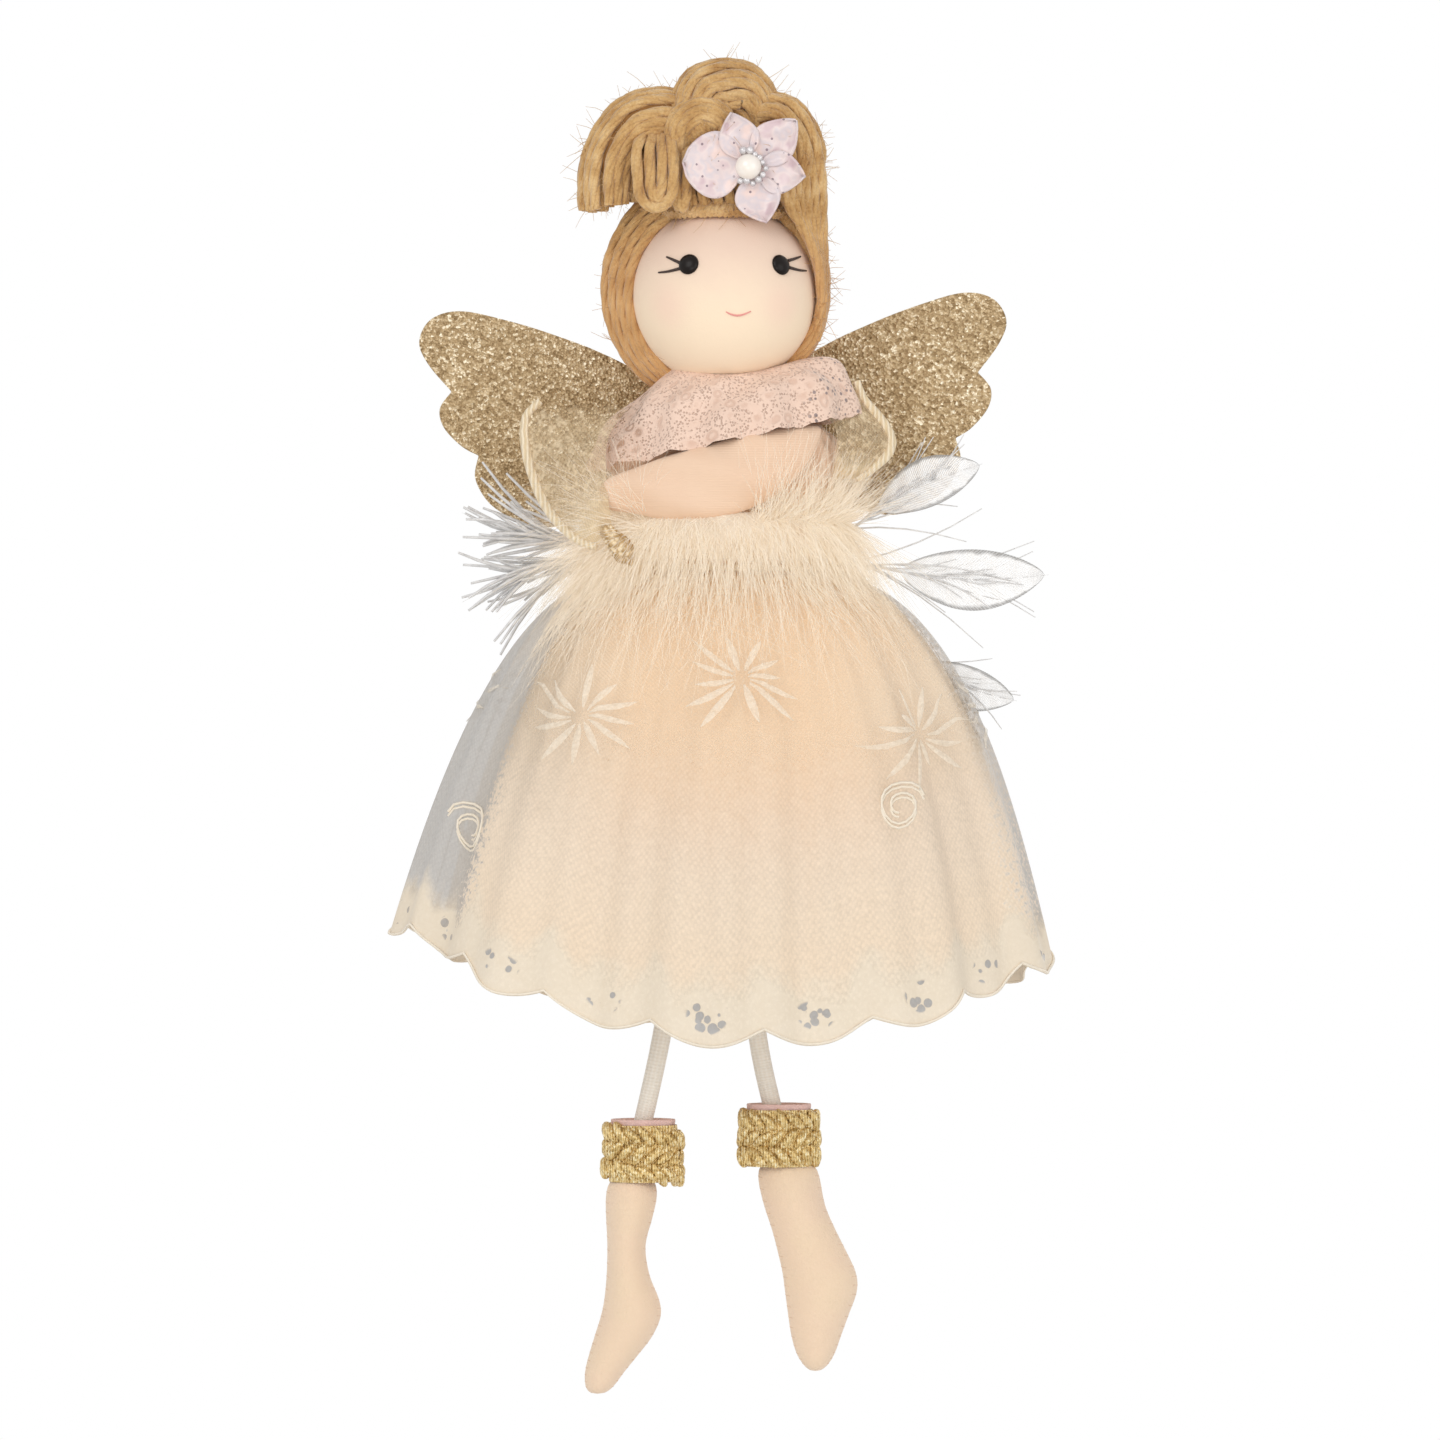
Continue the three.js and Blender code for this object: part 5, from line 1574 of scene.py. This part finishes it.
lines = []
for i in range(CAP_STRANDS):
    turn = 2 * math.pi * i / CAP_STRANDS
    facing = abs((turn + math.pi) % (2 * math.pi) - math.pi)
    last = HAIRLINE_TURN if facing < FACE_HALF_TURN else NAPE_TURN
    reach = HEAD_RADIUS + 0.0003 + YARN_RADIUS
    lines.append([
        HEAD + reach * Vector((math.sin(p) * math.sin(turn), -math.sin(p) * math.cos(turn), math.cos(p)))
        for p in (0.12 + (last - 0.12) * k / 20 for k in range(21))
    ])
cap = yarn("hair_cap_yarn", lines)
cap.data.materials.append(hair_finish)
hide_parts("hair_cap")
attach(cap, "doll")

for side, strands in SIDE_STRANDS.items():
    hand = -1 if side == "left" else 1
    lines = []
    for out, y in strands:
        route = []
        for k, angle in enumerate(SIDE_ANGLES):
            reach = HEAD_RADIUS + 0.0006 + out * (1 - 0.06 * k)
            route.append((hand * reach * math.cos(angle), y + 0.0004 * k, HEAD.z + reach * math.sin(angle)))
        lines.append(traced(route, 28))
    for n, fall in enumerate(FALLING if side == "right" else []):
        route = [(x, -0.0066 - 0.0006 * n + 0.0010 * k, z) for k, (x, z) in enumerate(fall)]
        lines.append(traced(route, 28))
    strip = yarn(f"hair_side_{side}_yarn", lines)
    strip.data.materials.append(hair_finish)
    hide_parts(f"hair_side_{side}")
    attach(strip, "doll")

# Hair flower: five pointed petals of iridescent satin flecked with glitter, glued round a pearl that has
# a few small silver beads beside it.
PETALS = {  # angle, half length, half width
    "left": (176, 0.0036, 0.0054),
    "top": (108, 0.0030, 0.0034),
    "upper_right": (44, 0.0037, 0.0036),
    "right": (-10, 0.0031, 0.0036),
    "bottom": (-72, 0.0032, 0.0038),
}
PETAL_THICKNESS = 0.0003
PETAL_ROOT = 0.0012
SMALL_BEADS = 11
pearl_low, pearl_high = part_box("hair_pearl")
pearl_middle = middle_of("hair_pearl")
PEARL_RADIUS = (pearl_high.x - pearl_low.x) / 2

petal_finish, place = new_finish(
    "iridescent satin", Roughness=0.32, Sheen_Weight=0.3, Coat_Weight=0.3, Coat_Roughness=0.2
)
drift = speckle(place, 330.0)
specks = cells(place, 1150.0)
dust = cells(place, 1150.0, "Color")
chosen = step(axis(dust, "X"), 0.80, 0.84)
dots = step(specks, 0.30, 0.22) * chosen
# The iridescent sheen of the satin is painted into its colour as tints mottled by a noise.
painted_sheen = place.node(
    "ValToRGB",
    {"Fac": drift},
    stops=[
        (0.34, paint(212, 186, 190)),
        (0.47, paint(232, 214, 211)),
        (0.56, paint(218, 205, 208)),
        (0.68, paint(238, 213, 205)),
    ],
)
feed(petal_finish, Base_Color=between(dots, painted_sheen, paint(140, 120, 128)), Normal=relief(drift, 0.0008, 0.6))

for name, (degrees, half_length, half_width) in PETALS.items():
    aim = math.radians(degrees)
    along = Vector((math.cos(aim), 0, math.sin(aim)))
    aside = Vector((-math.sin(aim), 0, math.cos(aim)))
    outer = PEARL_RADIUS + 0.0003 + 2 * half_length

    def petal_skin(u, v):
        wide = half_width * math.sin(math.pi * max(0.02, v) ** 0.85) ** (0.55 if name == "left" else 0.85)
        reach = PETAL_ROOT + (outer + 0.0006 - PETAL_ROOT) * v
        cup = 0.0007 * (2 * u - 1) ** 2 + 0.0012 * v**2 - 0.0006 * math.sin(math.pi * v)
        cup += 0.00035 * math.sin(7 * u + 5 * v + degrees) * v
        return pearl_middle + along * reach + aside * wide * (2 * u - 1) + Vector((0, 0.0010 - cup, 0))

    petal = cloth(f"hair_petal_{name}_satin", 14, 14, petal_skin, closed=True)
    thick = petal.modifiers.new("thickness", "SOLIDIFY")
    thick.thickness = PETAL_THICKNESS
    bpy.ops.object.modifier_apply(modifier=thick.name)
    petal.data.materials.append(petal_finish)
    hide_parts(f"hair_petal_{name}")
    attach(petal, "doll")

pearl = ball("hair_pearl_beads", pearl_middle, PEARL_RADIUS * 0.92, 32, 20)
pearl_finish = mottled(
    "cream pearl", 500.0, (240, 228, 214), (253, 248, 242), Roughness=0.18, Coat_Weight=0.6,
    Coat_Roughness=0.06,
)
pearl.data.materials.append(pearl_finish)
silver = mottled(
    "silver glass bead", 900.0, (176, 172, 174), (240, 236, 236), Roughness=0.2, Metallic=0.4
)
cluster = [pearl]
for k in range(SMALL_BEADS):
    turn = math.radians(-120 + 250 * k / SMALL_BEADS)
    reach = PEARL_RADIUS * chance.uniform(0.95, 1.25)
    spot = pearl_middle + Vector((
        reach * math.cos(turn), -0.0006 * chance.random(), reach * math.sin(turn)
    ))
    small = ball("bead", spot, chance.uniform(0.0004, 0.0007), 10, 7)
    small.data.materials.append(silver)
    cluster.append(small)
pearl = joined("hair_pearl_beads", cluster)
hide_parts("hair_pearl")
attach(pearl, "doll")

low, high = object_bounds()
